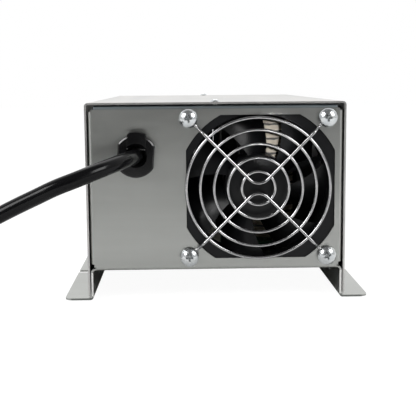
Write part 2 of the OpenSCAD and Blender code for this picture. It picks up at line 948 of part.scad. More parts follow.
// Moulded plug on the cord's end: a waisted grip and a ribbed, tapered strain relief
module plug_body() {
    color("black")
        at_plug()
            difference() {
                union() {
                    intersection() {
                        translate([0, 0, -plug_t / 2])
                            linear_extrude(plug_t)
                                difference() {
                                    union() {
                                        translate([-plug_w / 2, -14])
                                            square([plug_w, 14]);
                                        translate([-plug_w / 2 + 4, -plug_l])
                                            square([plug_w - 8, plug_l]);
                                    }
                                    for (s = [-1, 1])
                                        translate([s * (plug_w / 2 + 12), -24])
                                            circle(17);
                                }
                        translate([-plug_w / 2, 0, 0])
                            rotate([90, 0, 90])
                                linear_extrude(plug_w)
                                    translate([-plug_l / 2, 0])
                                        round_square(plug_l, plug_t, 4);
                    }
                    translate([0, -plug_l + tiny, 0])
                        rotate([90, 0, 0])
                            cylinder(r1 = 7.4, r2 = cord_r + 1.2, h = plug_relief_l);
                }
                for (k = [0 : 3])
                    translate([0, -plug_l - 5 - k * 5, 0])
                        rotate([90, 0, 0])
                            difference() {
                                cylinder(r = 12, h = 1.8);
                                translate([0, 0, -1])
                                    cylinder(r = cord_r + 1 + 0.4 * (3 - k), h = 4);
                            }
                translate([0, -plug_l - plug_relief_l - 1, 0])
                    rotate([-90, 0, 0])
                        cylinder(r = cord_r, h = 12);
            }
}

// The plug's two flat blades
module plug_blades() {
    color("goldenrod")
        at_plug()
            for (s = [-1, 1])
                translate([0.8, 0, s * 6.35 - 0.75])
                    difference() {
                        union() {
                            translate([0, 0, 0])
                                cube([6.3, 16, 1.5]);
                            translate([1.2, 0, 0])
                                cube([3.9, 17.5, 1.5]);
                        }
                        translate([3.15, 13, -1])
                            cylinder(r = 1.5, h = 4);
                    }
}

// The plug's round ground pin
module plug_ground_pin() {
    color("goldenrod")
        at_plug()
            translate([-7.95, 0, 0])
                rotate([-90, 0, 0]) {
                    cylinder(r = 2.4, h = 18.6);
                    translate([0, 0, 18.6])
                        intersection() {
                            sphere(2.4);
                            cylinder(r = 3, h = 3);
                        }
                }
}

// Main circuit board with its screw holes
module circuit_board() {
    color("darkgreen")
        difference() {
            translate([-board_w / 2, board_front, board_z])
                cube([board_w, board_rear - board_front, board_t]);
            for (p = hole_places)
                translate([p[0], p[1], board_z - 1])
                    cylinder(r = board_hole_r, h = board_t + 2);
        }
}

// Threaded standoffs clinched into the chassis floor
module standoffs() {
    color("lightsteelblue")
        for (p = hole_places)
            translate([p[0], p[1], 0])
                difference() {
                    union() {
                        translate([0, 0, floor_z])
                            cylinder(r = standoff_r, h = standoff_h);
                        translate([0, 0, channel_h])
                            cylinder(r = standoff_r - 1, h = sheet + tiny);
                    }
                    translate([0, 0, channel_h - 1])
                        cylinder(r = 1.45, h = 20);
                }
}

// Screws that hold the board to its standoffs
module board_screws() {
    color("gainsboro")
        for (p = hole_places)
            translate([p[0], p[1], top_z])
                cross_screw(2.8, 1.9, 1.45, 6);
}

// Places of the power transistors along each heat sink, and of their screws over the board
transistor_pitch = 20;
transistors = floor((sink_l - 15.6) / transistor_pitch);
transistor_y = [for (k = [0 : transistors - 1])
    sink_y + (k - (transistors - 1) / 2) * transistor_pitch];
transistor_z = 24;
tab_z = top_z + transistor_z + 5;

// Finned heat sink with its flat back towards the middle of the board
module heatsink(side) {
    mirror([side > 0 ? 0 : 1, 0, 0])
        difference() {
            translate([sink_x, sink_y + sink_l / 2, top_z])
                rotate([90, 0, 0])
                    linear_extrude(sink_l) {
                        square([sink_base, sink_h]);
                        for (k = [0 : fins - 1])
                            translate([sink_base - tiny, k * (sink_h - fin_t) / (fins - 1)])
                                square([sink_d - sink_base, fin_t]);
                    }
            for (y = transistor_y)
                translate([sink_x - 1, y, tab_z])
                    rotate([0, 90, 0])
                        cylinder(r = 1.5, h = sink_base);
        }
}
module heatsink_left() {
    color("silver")
        heatsink(-1);
}
module heatsink_right() {
    color("silver")
        heatsink(1);
}

// Power transistors on the flat backs of both heat sinks, with their legs in the board
module power_transistors() {
    color("dimgray")
        for (s = [0, 1])
            mirror([s, 0, 0])
                for (y = transistor_y)
                    translate([sink_x - 5, y, top_z]) {
                        difference() {
                            translate([0, -7.8, transistor_z - 10])
                                cube([5, 15.6, 21]);
                            translate([-1, 0, tab_z - top_z])
                                rotate([0, 90, 0])
                                    cylinder(r = 1.8, h = 7);
                        }
                        for (k = [-1, 0, 1])
                            translate([2, k * 5.4 - 0.6, 0])
                                cube([0.8, 1.2, transistor_z - 10 + tiny]);
                    }
}

// Screws that clamp the transistors to the heat sinks
module transistor_screws() {
    color("gainsboro")
        for (s = [0, 1])
            mirror([s, 0, 0])
                for (y = transistor_y)
                    translate([sink_x - 5, y, tab_z])
                        rotate([0, -90, 0])
                            cross_screw(3, 2, 1.5, 5 + sink_base - 1);
}

// Ferrite core of the main transformer: two E halves that close round the winding
module transformer_core() {
    color("darkslategray")
        translate([core_x - core_w / 2, core_y - core_d / 2, core_z]) {
            for (z = [0, core_h - yoke])
                translate([0, 0, z])
                    cube([core_w, core_d, yoke]);
            for (x = [0, core_w - core_leg])
                translate([x, 0, yoke - tiny])
                    cube([core_leg, core_d, core_h - 2 * yoke + 2 * tiny]);
            translate([core_w / 2 - 7, 0, yoke - tiny])
                cube([14, core_d, core_h - 2 * yoke + 2 * tiny]);
        }
}

// Winding on its bobbin: taped bands stacked up the middle leg, and feet down to the board
module transformer_winding() {
    inner_h = core_h - 2 * yoke;
    inner_w = core_w - 2 * core_leg;
    band = (inner_h - 4) / bands;
    color("tan")
        translate([core_x, core_y, 0]) {
            difference() {
                union() {
                    translate([0, 0, core_z + yoke])
                        linear_extrude(inner_h)
                            round_square(inner_w - 7, core_d + 8, 3);
                    for (k = [0 : bands - 1])
                        translate([0, 0, core_z + yoke + 2 + k * band + 0.5])
                            linear_extrude(band - 0.7)
                                round_square(inner_w - 4.5, core_d + 11, 4);
                    for (z = [core_z + yoke, core_z + yoke + inner_h - 1.6])
                        translate([0, 0, z])
                            linear_extrude(1.6)
                                round_square(inner_w - 3, core_d + 14, 1.5);
                }
                translate([-7, -core_d / 2, core_z])
                    cube([14, core_d, core_h]);
            }
            for (s = [-1, 1])
                translate([1.5 - inner_w / 2, s > 0 ? core_d / 2 : -core_d / 2 - 7, top_z])
                    cube([inner_w - 3, 7, core_z + yoke - top_z + tiny]);
        }
}

// Two large capacitors behind the line filter
module bulk_capacitors() {
    color("midnightblue")
        for (x = [-41, -7])
            translate([x, board_front + 62, top_z]) {
                cylinder(r = 15, h = 46);
                cylinder(r = 15.4, h = 2);
                translate([0, 0, 44])
                    cylinder(r = 15.4, h = 2);
            }
}

// Output capacitors in a row near the rear panel
module output_capacitors() {
    color("midnightblue")
        for (k = [-1.5 : 1.5])
            translate([k * 16.6, board_rear - 22, top_z]) {
                cylinder(r = 7.6, h = 32);
                cylinder(r = 8, h = 1.5);
            }
}

// Ring core of the output choke, standing on its edge
choke_y = board_rear - 82;
choke_r = 19;
module output_choke() {
    color("khaki")
        translate([0, choke_y, top_z + choke_r + 4])
            rotate([90, 0, 0])
                difference() {
                    translate([0, 0, -7])
                        cylinder(r = choke_r - 3, h = 14);
                    translate([0, 0, -8])
                        cylinder(r = 8, h = 16);
                }
}

// Copper winding round the choke's core, open at the top, with two ends down to the board
module choke_winding() {
    color("peru")
        translate([0, choke_y, 0]) {
            translate([0, 0, top_z + choke_r + 4])
                rotate([90, 0, 0])
                    rotate(120)
                        rotate_extrude(angle = 300)
                            difference() {
                                translate([5.2, -9.8])
                                    square([13.6, 19.6]);
                                translate([8, -7])
                                    square([choke_r - 11, 14]);
                            }
            for (s = [-1, 1])
                translate([s * 9 - 1.1, 6, top_z])
                    cube([2.2, 2.8, 10]);
        }
}

// Ring core of the line filter, lying flat over the board
filter_x = -41.5;
filter_y = board_front + 25;
filter_z = top_z + 1.6;
module filter_core() {
    color("darkslategray")
        translate([filter_x, filter_y, filter_z])
            difference() {
                cylinder(r = 13, h = 11);
                translate([0, 0, -1])
                    cylinder(r = 7, h = 13);
            }
}

// The line filter's two coils, on opposite sides of its core
module filter_coils() {
    color("peru")
        translate([filter_x, filter_y, filter_z])
            for (half = [-50, 130])
                rotate(half)
                    rotate_extrude(angle = 100)
                        difference() {
                            translate([5.4, -1.3])
                                square([9.2, 13.6]);
                            translate([7, 0])
                                square([6, 11]);
                        }
}

// Boxed capacitor beside the line filter
module filter_capacitor() {
    color("gold")
        translate([-15.5, board_front + 17, top_z])
            cube([10.5, 26, 17]);
}

// Glass fuse in the mains line
fuse_x = -21;
fuse_y = board_front + 6;
fuse_r = 3.1;
module mains_fuse() {
    color("lightcyan")
        translate([fuse_x, fuse_y, top_z + 6])
            rotate([-90, 0, 0])
                cylinder(r = fuse_r, h = 30);
}

// Clips that hold the glass fuse
module fuse_clips() {
    color("silver")
        for (y = [fuse_y + 1.5, fuse_y + 23.5])
            translate([fuse_x - 4, y, top_z])
                difference() {
                    cube([8, 5, 9.6]);
                    translate([4, -1, 6])
                        rotate([-90, 0, 0])
                            cylinder(r = fuse_r, h = 8);
                    translate([2, -1, 6])
                        cube([4, 8, 6]);
                }
}

// Upright control board between the choke and the output capacitors
module control_board() {
    color("darkgreen")
        translate([-23, board_rear - 48, top_z])
            cube([46, 1.6, 30]);
}

// Socket on the main board that the fan's leads go into
fan_socket_x = 0;
module fan_socket() {
    color("ivory")
        translate([fan_socket_x - 3.5, board_front + 1, top_z])
            cube([7, 6, 8]);
}

// Two mains conductors from the end of the cord's jacket to the board
module mains_leads() {
    y = front_y + 12;
    z = bushing_z + 0.9;
    drop = z - top_z;
    color("dimgray")
        for (s = [-1, 1])
            translate([bushing_x, 0, 0])
                tube([[s * 1.7, y, z], [s * 1.7, y + 3.5, z], [s * 2.2, y + 8, z - 0.04 * drop],
                    [s * 3, y + 11.5, z - 0.15 * drop], [s * 4, y + 14.5, z - 0.31 * drop],
                    [s * 5.5, y + 18, z - 0.5 * drop], [s * 7, y + 22, z - 0.69 * drop],
                    [s * 8, y + 25.2, z - 0.85 * drop], [s * 8.3, y + 26, z - 0.93 * drop],
                    [s * 8.3, y + 26, top_z]], 1.3, 8);
}

// Ground conductor from the cord to the chassis floor, with its eyelet and nut
module ground_lead() {
    color("seagreen") {
        translate([bushing_x, front_y, 0])
            tube([[0, 12, bushing_z - 2], [0, 14.5, bushing_z - 2], [0, 17.2, bushing_z - 3.6],
                [0, 18.5, bushing_z - 7.7], [0, 18.5, floor_z + 3]], 1.3, 8);
        translate([bushing_x, front_y + 18.5, floor_z]) {
            cylinder(r = 4.5, h = 1);
            cylinder(r = 3.2, h = 4.2);
        }
    }
}

// Sleeved leads from the back of the fan to their socket
module fan_leads() {
    y = front_y + sheet + fan_d;
    run = board_front + 4 - y;
    color("firebrick")
        tube([[fan_x - 27, y + 0.2, fan_z - 30], [fan_x - 27, y + 0.2 * run, fan_z - 29.7],
            [fan_x - 26.3, y + 0.45 * run, fan_z - 27], [fan_x - 24.5, y + 0.7 * run, top_z + 10.9],
            [fan_socket_x - 1, y + 0.9 * run, top_z + 12.7], [fan_socket_x, y + run, top_z + 11.5],
            [fan_socket_x, y + run, top_z + 8]], 1.2, 8);
}

// Copper straps from the board to the tangs of the output lugs
tang_z = block_z - 3;
module bus_bars() {
    color("peru")
        for (s = [-1, 1])
            translate([block_x + s * lug_pitch / 2 - tang_w / 2, board_rear - 10, 0])
                difference() {
                    union() {
                        translate([0, 0, top_z])
                            cube([tang_w, bar_t, tang_z - top_z]);
                        translate([0, 0, tang_z - bar_t])
                            cube([tang_w, 20, bar_t]);
                    }
                    translate([tang_w / 2, rear_y - 10 - board_rear + 10, tang_z - 5])
                        cylinder(r = 2.5, h = 10);
                }
}

// Moulded block that keeps the lugs clear of the rear panel
module terminal_block() {
    color("black")
        difference() {
            union() {
                translate([block_x, rear_y + block_out, block_z])
                    rotate([90, 0, 0])
                        linear_extrude(block_out)
                            round_square(block_w, block_h, 2);
                translate([block_x - window_w / 2, rear_y - sheet - 2, block_z - window_h / 2])
                    cube([window_w, sheet + 2 + tiny, window_h]);
                translate([block_x - 2, rear_y + block_out - tiny, block_z - block_h / 2 + 2])
                    cube([4, 12, block_h - 4]);
            }
            for (s = [-1, 1])
                translate([block_x + s * lug_pitch / 2 - tang_w / 2, rear_y - sheet - 3, tang_z])
                    cube([tang_w, block_out + sheet + 4, tang_t]);
        }
}

// Output lugs: each a block with a cable bore, and a flat tang through the panel
module output_lugs() {
    color("lightgray")
        for (s = [-1, 1])
            translate([block_x + s * lug_pitch / 2, rear_y + block_out, block_z])
                difference() {
                    union() {
                        translate([-lug_w / 2, 0, -lug_h / 2])
                            cube([lug_w, lug_l, lug_h]);
                        translate([-tang_w / 2, -block_out - tang_in, tang_z - block_z])
                            cube([tang_w, block_out + tang_in + tiny, tang_t]);
                    }
                    translate([0, 3.4, -1.4])
                        rotate([-90, 0, 0])
                            cylinder(r = lug_bore_r, h = lug_l);
                    translate([0, lug_l / 2 + 1, -1.4])
                        cylinder(r = set_screw_r, h = lug_h);
                    translate([0, -10 - block_out, tang_z - block_z - 1])
                        cylinder(r = 2.5, h = tang_t + 2);
                }
}

// Set screws with hex sockets in the tops of the output lugs
module lug_set_screws() {
    color("dimgray")
        for (s = [-1, 1])
            translate([block_x + s * lug_pitch / 2, rear_y + block_out + lug_l / 2 + 1,
                    block_z + lug_bore_r - 1.2])
                difference() {
                    cylinder(r = set_screw_r, h = lug_h / 2 - lug_bore_r + 2.6);
                    translate([0, 0, lug_h / 2 - lug_bore_r])
                        cylinder(r = 1.8, h = 5, $fn = 6);
                }
}

// Bolts and nuts that join the tangs to the copper straps
module lug_bolts() {
    color("gainsboro")
        for (s = [-1, 1])
            translate([block_x + s * lug_pitch / 2, rear_y - 10, tang_z]) {
                translate([0, 0, tang_t])
                    cylinder(r = 4.6, h = 3.5, $fn = 6);
                translate([0, 0, -bar_t - 7])
                    cylinder(r = 2.5, h = tang_t + bar_t + 7 + tiny);
                translate([0, 0, -bar_t - 4])
                    cylinder(r = 4.6, h = 4, $fn = 6);
            }
}

// Holder for the blade fuses, clipped into the rear panel
module fuse_holder() {
    color("black")
        difference() {
            union() {
                translate([holder_x, rear_y + 2, holder_z])
                    rotate([90, 0, 0])
                        linear_extrude(2)
                            round_square(holder_w + 6, holder_h + 6, 2);
                translate([holder_x - holder_w / 2, rear_y - 12, holder_z - holder_h / 2])
                    cube([holder_w, 12 + tiny, holder_h]);
            }
            for (k = [-(fuses - 1) / 2 : (fuses - 1) / 2])
                translate([holder_x + k * fuse_pitch - 2.7, rear_y - 6, holder_z - 10])
                    cube([5.4, 9, 20]);
        }
}

// Blade fuses in their holder: a moulded body with a raised grip, and two flat blades
module blade_fuses() {
    color("mediumseagreen")
        for (k = [-(fuses - 1) / 2 : (fuses - 1) / 2])
            translate([holder_x + k * fuse_pitch, rear_y - 6, holder_z]) {
                translate([-2.4, 0.2, -9.5])
                    cube([4.8, 8.8, 19]);
                translate([-1.8, 8.9, -8.5])
                    cube([3.6, 3.6, 17]);
            }
}

// Ground lug on the rear panel: a small block with a wire bore on a flat foot
ground_bore = [0, -13.2, 6];
ground_set_r = 1.5;
module ground_lug() {
    color("lightgray")
        at_rear(ground_x, ground_z)
            difference() {
                union() {
                    translate([-4.5, -9, 0])
                        cube([9, 16, 2]);
                    translate([-4.5, -18, 0])
                        cube([9, 9.5, 10]);
                }
                translate(ground_bore + [-6, 0, 0])
                    rotate([0, 90, 0])
                        cylinder(r = 2.4, h = 12);
                translate(ground_bore)
                    cylinder(r = ground_set_r, h = 6);
                translate([0, 0, -1])
                    cylinder(r = 2, h = 4);
            }
}

// The ground lug's mounting screw and set screw
module ground_lug_screws() {
    color("gainsboro")
        at_rear(ground_x, ground_z) {
            translate([0, 0, 2])
                cross_screw(3.6, 2.2, 2, 7);
            translate(ground_bore + [0, 0, 2.6])
                difference() {
                    cylinder(r = ground_set_r, h = 3);
                    translate([0, 0, 1.4])
                        cylinder(r = 0.9, h = 3, $fn = 6);
                }
        }
}

chassis();
cover();
cover_screws();
fan_frame();
fan_rotor();
fan_magnet();
fan_shaft();
fan_bearing();
fan_stator();
fan_coils();
fan_board();
finger_guard();
fan_screws();
fan_nuts();
bushing_body();
bushing_wedge();
power_cord();
cord_coil();
coil_tie();
plug_body();
plug_blades();
plug_ground_pin();
circuit_board();
standoffs();
board_screws();
heatsink_left();
heatsink_right();
power_transistors();
transistor_screws();
transformer_core();
transformer_winding();
bulk_capacitors();
output_capacitors();
output_choke();
choke_winding();
filter_core();
filter_coils();
filter_capacitor();
mains_fuse();
fuse_clips();
control_board();
fan_socket();
mains_leads();
ground_lead();
fan_leads();
bus_bars();
terminal_block();
output_lugs();
lug_set_screws();
lug_bolts();
fuse_holder();
blade_fuses();
ground_lug();
ground_lug_screws();
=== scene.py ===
"""Power converter charger: a folded sheet case with a fan behind a wire guard on its front,
a mains lead with its plug, and output lugs and fuses on the back. All sizes are in metres."""
import math

import bmesh
import bpy
from mathutils import Matrix, Vector


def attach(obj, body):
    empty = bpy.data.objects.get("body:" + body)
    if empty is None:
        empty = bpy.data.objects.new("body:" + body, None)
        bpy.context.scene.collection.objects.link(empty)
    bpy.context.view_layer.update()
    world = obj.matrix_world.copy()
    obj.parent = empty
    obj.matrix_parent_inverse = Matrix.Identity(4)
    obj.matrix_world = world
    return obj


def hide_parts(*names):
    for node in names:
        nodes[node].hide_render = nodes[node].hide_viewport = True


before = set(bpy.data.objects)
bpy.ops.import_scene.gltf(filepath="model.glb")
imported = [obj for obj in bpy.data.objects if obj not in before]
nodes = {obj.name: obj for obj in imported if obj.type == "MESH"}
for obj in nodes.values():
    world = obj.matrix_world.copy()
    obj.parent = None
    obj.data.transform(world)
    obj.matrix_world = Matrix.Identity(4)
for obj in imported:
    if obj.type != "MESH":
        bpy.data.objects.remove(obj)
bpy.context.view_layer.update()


# Camera: in front of the fan end, a little left of the middle and a hand above the cover,
# looking slightly down and to the right.
def linked(name, data):
    """An object made from its data and linked to the scene."""
    made = bpy.data.objects.new(name, data)
    bpy.context.scene.collection.objects.link(made)
    return made


camera_place = Vector((-0.0178, -0.61524, 0.11226))
yaw, pitch, roll = 0.0283, 0.1346, -0.0077
ahead = Vector((math.sin(yaw) * math.cos(pitch), math.cos(yaw) * math.cos(pitch), -math.sin(pitch)))
level = Vector((math.cos(yaw), -math.sin(yaw), 0.0))
upward = level.cross(ahead)
side = math.cos(roll) * level + math.sin(roll) * upward
above = -math.sin(roll) * level + math.cos(roll) * upward
camera = linked("camera", bpy.data.cameras.new("camera"))
camera.data.sensor_width = 36.0
camera.data.lens = 80.3
camera.data.clip_start = 0.02
camera.matrix_world = Matrix((
    (side.x, above.x, -ahead.x, camera_place.x),
    (side.y, above.y, -ahead.y, camera_place.y),
    (side.z, above.z, -ahead.z, camera_place.z),
    (0.0, 0.0, 0.0, 1.0),
))
bpy.context.scene.camera = camera
bpy.context.scene.view_settings.view_transform = "Standard"


# Studio: a pale tent, lightest behind the object, dark in front where the camera looks in, and
# dim high up in front. Soft boxes stand left and right in front of the object and one hangs
# behind it. A snoot beside the camera shines into the fan. The camera sees the tent plain white.
def shader(tree, kind, inputs=None, **settings):
    """A new shader node. An input takes a value or the output of another node."""
    made = tree.nodes.new(kind)
    for name, value in settings.items():
        setattr(made, name, value)
    for name, value in (inputs or {}).items():
        if isinstance(value, bpy.types.NodeSocket):
            tree.links.new(value, made.inputs[name])
        else:
            made.inputs[name].default_value = value
    return made


def spread(tree, value, low, high, start=0.0, stop=1.0, kind="LINEAR"):
    """The value, spread from low..high to start..stop and held at both ends."""
    return shader(tree, "ShaderNodeMapRange",
                  {"Value": value, "From Min": low, "From Max": high, "To Min": start, "To Max": stop},
                  interpolation_type=kind).outputs["Result"]


def maths(tree, operation, *values):
    """The result of a maths node."""
    return shader(tree, "ShaderNodeMath", dict(enumerate(values)), operation=operation).outputs[0]


def towards(tree, sight, direction):
    """How closely a line of sight follows a direction: 1 along it, 0 square to it."""
    return shader(tree, "ShaderNodeVectorMath", {0: sight, 1: Vector(direction).normalized()},
                  operation="DOT_PRODUCT").outputs["Value"]


def aimed(lamp, place, target):
    """Puts a lamp in its place and points it at the target."""
    lamp.location = place
    lamp.rotation_euler = (Vector(target) - Vector(place)).to_track_quat("-Z", "Y").to_euler()


white = (1.0, 1.0, 1.0, 1.0)
world = bpy.data.worlds.new("studio")
bpy.context.scene.world = world
world.use_nodes = True
tree = world.node_tree
tree.nodes.clear()
sight = shader(tree, "ShaderNodeTexCoord").outputs["Generated"]
back_and_forth = shader(tree, "ShaderNodeSeparateXYZ", {0: sight}).outputs["Y"]
depth = spread(tree, back_and_forth, -0.20, 0.55, 0.50, 0.96, "SMOOTHSTEP")
opening = spread(tree, towards(tree, sight, (-0.03, -0.995, 0.05)), 0.80, 0.975, 1.0, 0.08, "SMOOTHSTEP")
ceiling = spread(tree, towards(tree, sight, (0.0, -0.50, 0.866)), 0.62, 0.86, 1.0, 0.30, "SMOOTHSTEP")
strength = maths(tree, "MULTIPLY", maths(tree, "MULTIPLY", depth, opening), ceiling)
room = shader(tree, "ShaderNodeBackground", {"Color": white, "Strength": strength})
plain = shader(tree, "ShaderNodeBackground", {"Color": white, "Strength": 1.0})
seen = shader(tree, "ShaderNodeLightPath").outputs["Is Camera Ray"]
either = shader(tree, "ShaderNodeMixShader", {0: seen, 1: room.outputs[0], 2: plain.outputs[0]})
shader(tree, "ShaderNodeOutputWorld", {"Surface": either.outputs[0]})

for name, place, wide, high, power in (
    ("soft_box_left", (-0.70, -0.68, 0.66), 0.42, 0.50, 6.0),
    ("soft_box_right", (0.74, -0.64, 0.66), 0.42, 0.50, 5.0),
    ("soft_box_above", (0.0, 0.70, 1.25), 0.90, 0.90, 2.5),
):
    lamp = bpy.data.lights.new(name, "AREA")
    lamp.shape = "RECTANGLE"
    lamp.size = wide
    lamp.size_y = high
    lamp.energy = power
    aimed(linked(name, lamp), place, (0.0, -0.05, 0.05))

snoot = bpy.data.lights.new("snoot", "SPOT")
snoot.energy = 6.0
snoot.spot_size = math.radians(3.0)
snoot.spot_blend = 0.5
snoot.shadow_soft_size = 0.004
aimed(linked("snoot", snoot), (-0.004, -0.640, 0.118), (0.0335, -0.09, 0.0785))

# Floor: a pale sheet of paper. The camera sees it as near white as the room, with the
# object's own soft shadow kept.
bm = bmesh.new()
bmesh.ops.create_grid(bm, x_segments=4, y_segments=4, size=2.2)
bmesh.ops.translate(bm, verts=bm.verts, vec=(0.0, 1.45, 0.0))
floor_mesh = bpy.data.meshes.new("floor")
bm.to_mesh(floor_mesh)
bm.free()
floor = linked("floor", floor_mesh)
paper = bpy.data.materials.new("paper")
paper.use_nodes = True
tree = paper.node_tree
tree.nodes.clear()
lit = shader(tree, "ShaderNodeBsdfDiffuse", {"Color": (0.76, 0.76, 0.76, 1.0)})
faint = shader(tree, "ShaderNodeBsdfDiffuse", {"Color": (0.14, 0.14, 0.14, 1.0)})
glow = shader(tree, "ShaderNodeEmission", {"Strength": 0.95})
both = shader(tree, "ShaderNodeAddShader", {0: faint.outputs[0], 1: glow.outputs[0]})
seen = shader(tree, "ShaderNodeLightPath").outputs["Is Camera Ray"]
either = shader(tree, "ShaderNodeMixShader", {0: seen, 1: lit.outputs[0], 2: both.outputs[0]})
shader(tree, "ShaderNodeOutputMaterial", {"Surface": either.outputs[0]})
floor_mesh.materials.append(paper)


# Mains lead: three stranded wires in a round black sheath. It is gripped by the bushing, bends
# to the left over the foot, and the rest of it is tied up in a coil.
def tone_group():
    """Slow changes of tone and fine grain, both from 0 to 1, over Object coordinates."""
    tree = bpy.data.node_groups.new("tone_and_grain", "ShaderNodeTree")
    face = tree.interface
    face.new_socket("Vector", in_out="INPUT", socket_type="NodeSocketVector")
    for label, value in (("Patch Scale", 25.0), ("Grain Scale", 900.0)):
        face.new_socket(label, in_out="INPUT", socket_type="NodeSocketFloat").default_value = value
    for label in ("Tone", "Grain"):
        face.new_socket(label, in_out="OUTPUT", socket_type="NodeSocketFloat")
    start = shader(tree, "NodeGroupInput")
    end = shader(tree, "NodeGroupOutput")
    for label, scale, detail, low, high in (
        ("Tone", "Patch Scale", 3.0, 0.32, 0.68),
        ("Grain", "Grain Scale", 4.0, 0.25, 0.75),
    ):
        noise = shader(tree, "ShaderNodeTexNoise", {"Vector": start.outputs["Vector"],
                                                    "Scale": start.outputs[scale], "Detail": detail})
        tree.links.new(spread(tree, noise.outputs["Fac"], low, high), end.inputs[label])
    return tree


tone_and_grain = tone_group()


def finish(name, deep, pale, smooth, dull, metal=0.0, patch=25.0, grain=900.0, stretch=(1, 1, 1),
           relief=0.00001, specular=0.5):
    """A surface whose colour wanders from deep to pale in patches, and whose grain stands up by
    relief and wanders from smooth to dull."""
    made = bpy.data.materials.new(name)
    made.use_nodes = True
    tree = made.node_tree
    at = shader(tree, "ShaderNodeTexCoord").outputs["Object"]
    stretched = shader(tree, "ShaderNodeMapping", {"Vector": at, "Scale": stretch}).outputs["Vector"]
    tone = shader(tree, "ShaderNodeGroup", {"Vector": stretched, "Patch Scale": patch,
                                            "Grain Scale": grain}, node_tree=tone_and_grain)
    mix = shader(tree, "ShaderNodeMix", {"Factor": tone.outputs["Tone"], "A": (*deep, 1.0),
                                         "B": (*pale, 1.0)}, data_type="RGBA")
    bump = shader(tree, "ShaderNodeBump", {"Height": tone.outputs["Grain"], "Distance": relief})
    gloss = tree.nodes["Principled BSDF"]
    gloss.inputs["Metallic"].default_value = metal
    gloss.inputs["Specular IOR Level"].default_value = specular
    tree.links.new(mix.outputs["Result"], gloss.inputs["Base Color"])
    tree.links.new(spread(tree, tone.outputs["Grain"], 0.0, 1.0, smooth, dull), gloss.inputs["Roughness"])
    tree.links.new(bump.outputs["Normal"], gloss.inputs["Normal"])
    return made


def tube(name, radius, rounding, *materials):
    """An empty curve for round tubes with closed ends."""
    made = bpy.data.curves.new(name, "CURVE")
    made.dimensions = "3D"
    made.bevel_depth = radius
    made.bevel_resolution = rounding
    made.use_fill_caps = True
    for material in materials:
        made.materials.append(material)
    return made


def smooth_run(curve, points):
    """Adds one smooth run through points to a curve."""
    run = curve.splines.new("BEZIER")
    run.bezier_points.add(len(points) - 1)
    for knot, point in zip(run.bezier_points, points):
        knot.co = point
        knot.handle_left_type = knot.handle_right_type = "AUTO"


lead_thick = 0.0078
coil_middle = Vector((-0.192, -0.1303, 0.0))
outer_turn = 0.0507
middle_turn = outer_turn - lead_thick
inner_turn = middle_turn - lead_thick
lower_layer = 0.0047
upper_layer = lower_layer + lead_thick
steps_a_turn = 20


def on_coil(turn):
    """The middle of the lead after so many turns: inwards on the floor, up on to the lower layer
    in the third turn, and outwards again to the plug."""
    reach, lift = outer_turn - lead_thick * turn, lower_layer
    if turn > 4.0:
        reach, lift = middle_turn, upper_layer
    elif turn > 3.25:
        ease = (turn - 3.25) / 0.75
        reach, lift = inner_turn + lead_thick * ease * ease * (3 - 2 * ease), upper_layer
    elif turn > 3.0:
        reach, lift = inner_turn, upper_layer
    elif turn > 2.0:
        climb = (turn - 2.0) * math.pi / 2
        reach = outer_turn - lead_thick * (turn - 1) - lead_thick * math.cos(climb)
        lift = lower_layer + lead_thick * math.sin(climb)
    angle = math.radians(270) - turn * 2 * math.pi
    return coil_middle + Vector((reach * math.cos(angle), reach * math.sin(angle), lift))


sheath = finish("lead_sheath", (0.0035, 0.0035, 0.004), (0.0055, 0.0055, 0.006), 0.11, 0.19,
                patch=30, grain=2600, relief=0.000002, specular=0.17)
lead_points = [Vector(p) * 0.001 for p in (
    (-41, -128, 75.2), (-41, -134, 75.2), (-41, -140, 75.2), (-41.7, -147.5, 75.2),
    (-44, -155.8, 74.9), (-48, -163.6, 73.9), (-53.4, -170.4, 72.2), (-60.3, -175.9, 69.9),
    (-68.3, -179.5, 67), (-76.9, -181, 63.8), (-86, -181, 59.6), (-96, -181, 54.9),
    (-106, -181, 49.9), (-117, -181, 44.1), (-128, -181, 37.6), (-138.5, -181, 30.6),
    (-149, -181, 23.3), (-159.5, -181, 16.5), (-170, -181, 10.8), (-181, -181, 6.7))]
lead_points += [on_coil(step / steps_a_turn) for step in range(4 * steps_a_turn + 6)]
lead_points += [Vector(p) * 0.001 for p in (
    (-234.9, -119, 12.5), (-234.9, -108, 12.4), (-234.9, -97, 12),
    (-234.9, -86, 11.7), (-234.9, -75.3, 11.7))]
lead_curve = tube("mains_lead", lead_thick / 2, 6, sheath)
lead_curve.resolution_u = 6
smooth_run(lead_curve, lead_points)
mains_lead = linked("mains_lead", lead_curve)
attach(mains_lead, "case")
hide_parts("power_cord", "cord_coil")


# Plug: three-pin body moulded on the end of the lead in black vinyl, waisted for the fingers,
# with a ribbed tail that tapers to the sheath.
def outline_solid(corners, depth):
    """A closed bmesh: the outline given in X and Y, drawn up from z 0 by depth."""
    shape = bmesh.new()
    face = shape.faces.new([shape.verts.new((x, y, 0.0)) for x, y in corners])
    drawn = bmesh.ops.extrude_face_region(shape, geom=[face])
    top = [v for v in drawn["geom"] if isinstance(v, bmesh.types.BMVert)]
    bmesh.ops.translate(shape, verts=top, vec=(0.0, 0.0, depth))
    bmesh.ops.recalc_face_normals(shape, faces=shape.faces)
    return shape


def round_edges(shape, edges, width, steps, clamp=True):
    """Rounds the given edges of a bmesh."""
    bmesh.ops.bevel(shape, geom=list(edges), offset=width, offset_type="OFFSET", segments=steps,
                    profile=0.5, affect="EDGES", clamp_overlap=clamp, material=-1)


def arc_of(middle, radius, start, stop, steps):
    """Points on a circle, angles in degrees."""
    angles = [math.radians(start + (stop - start) * k / steps) for k in range(steps + 1)]
    return [(middle[0] + radius * math.cos(a), middle[1] + radius * math.sin(a)) for a in angles]


def ring_of(middle, radius, steps):
    """Points on a full circle, the first not repeated."""
    return arc_of(middle, radius, 0, 360, steps)[:-1]


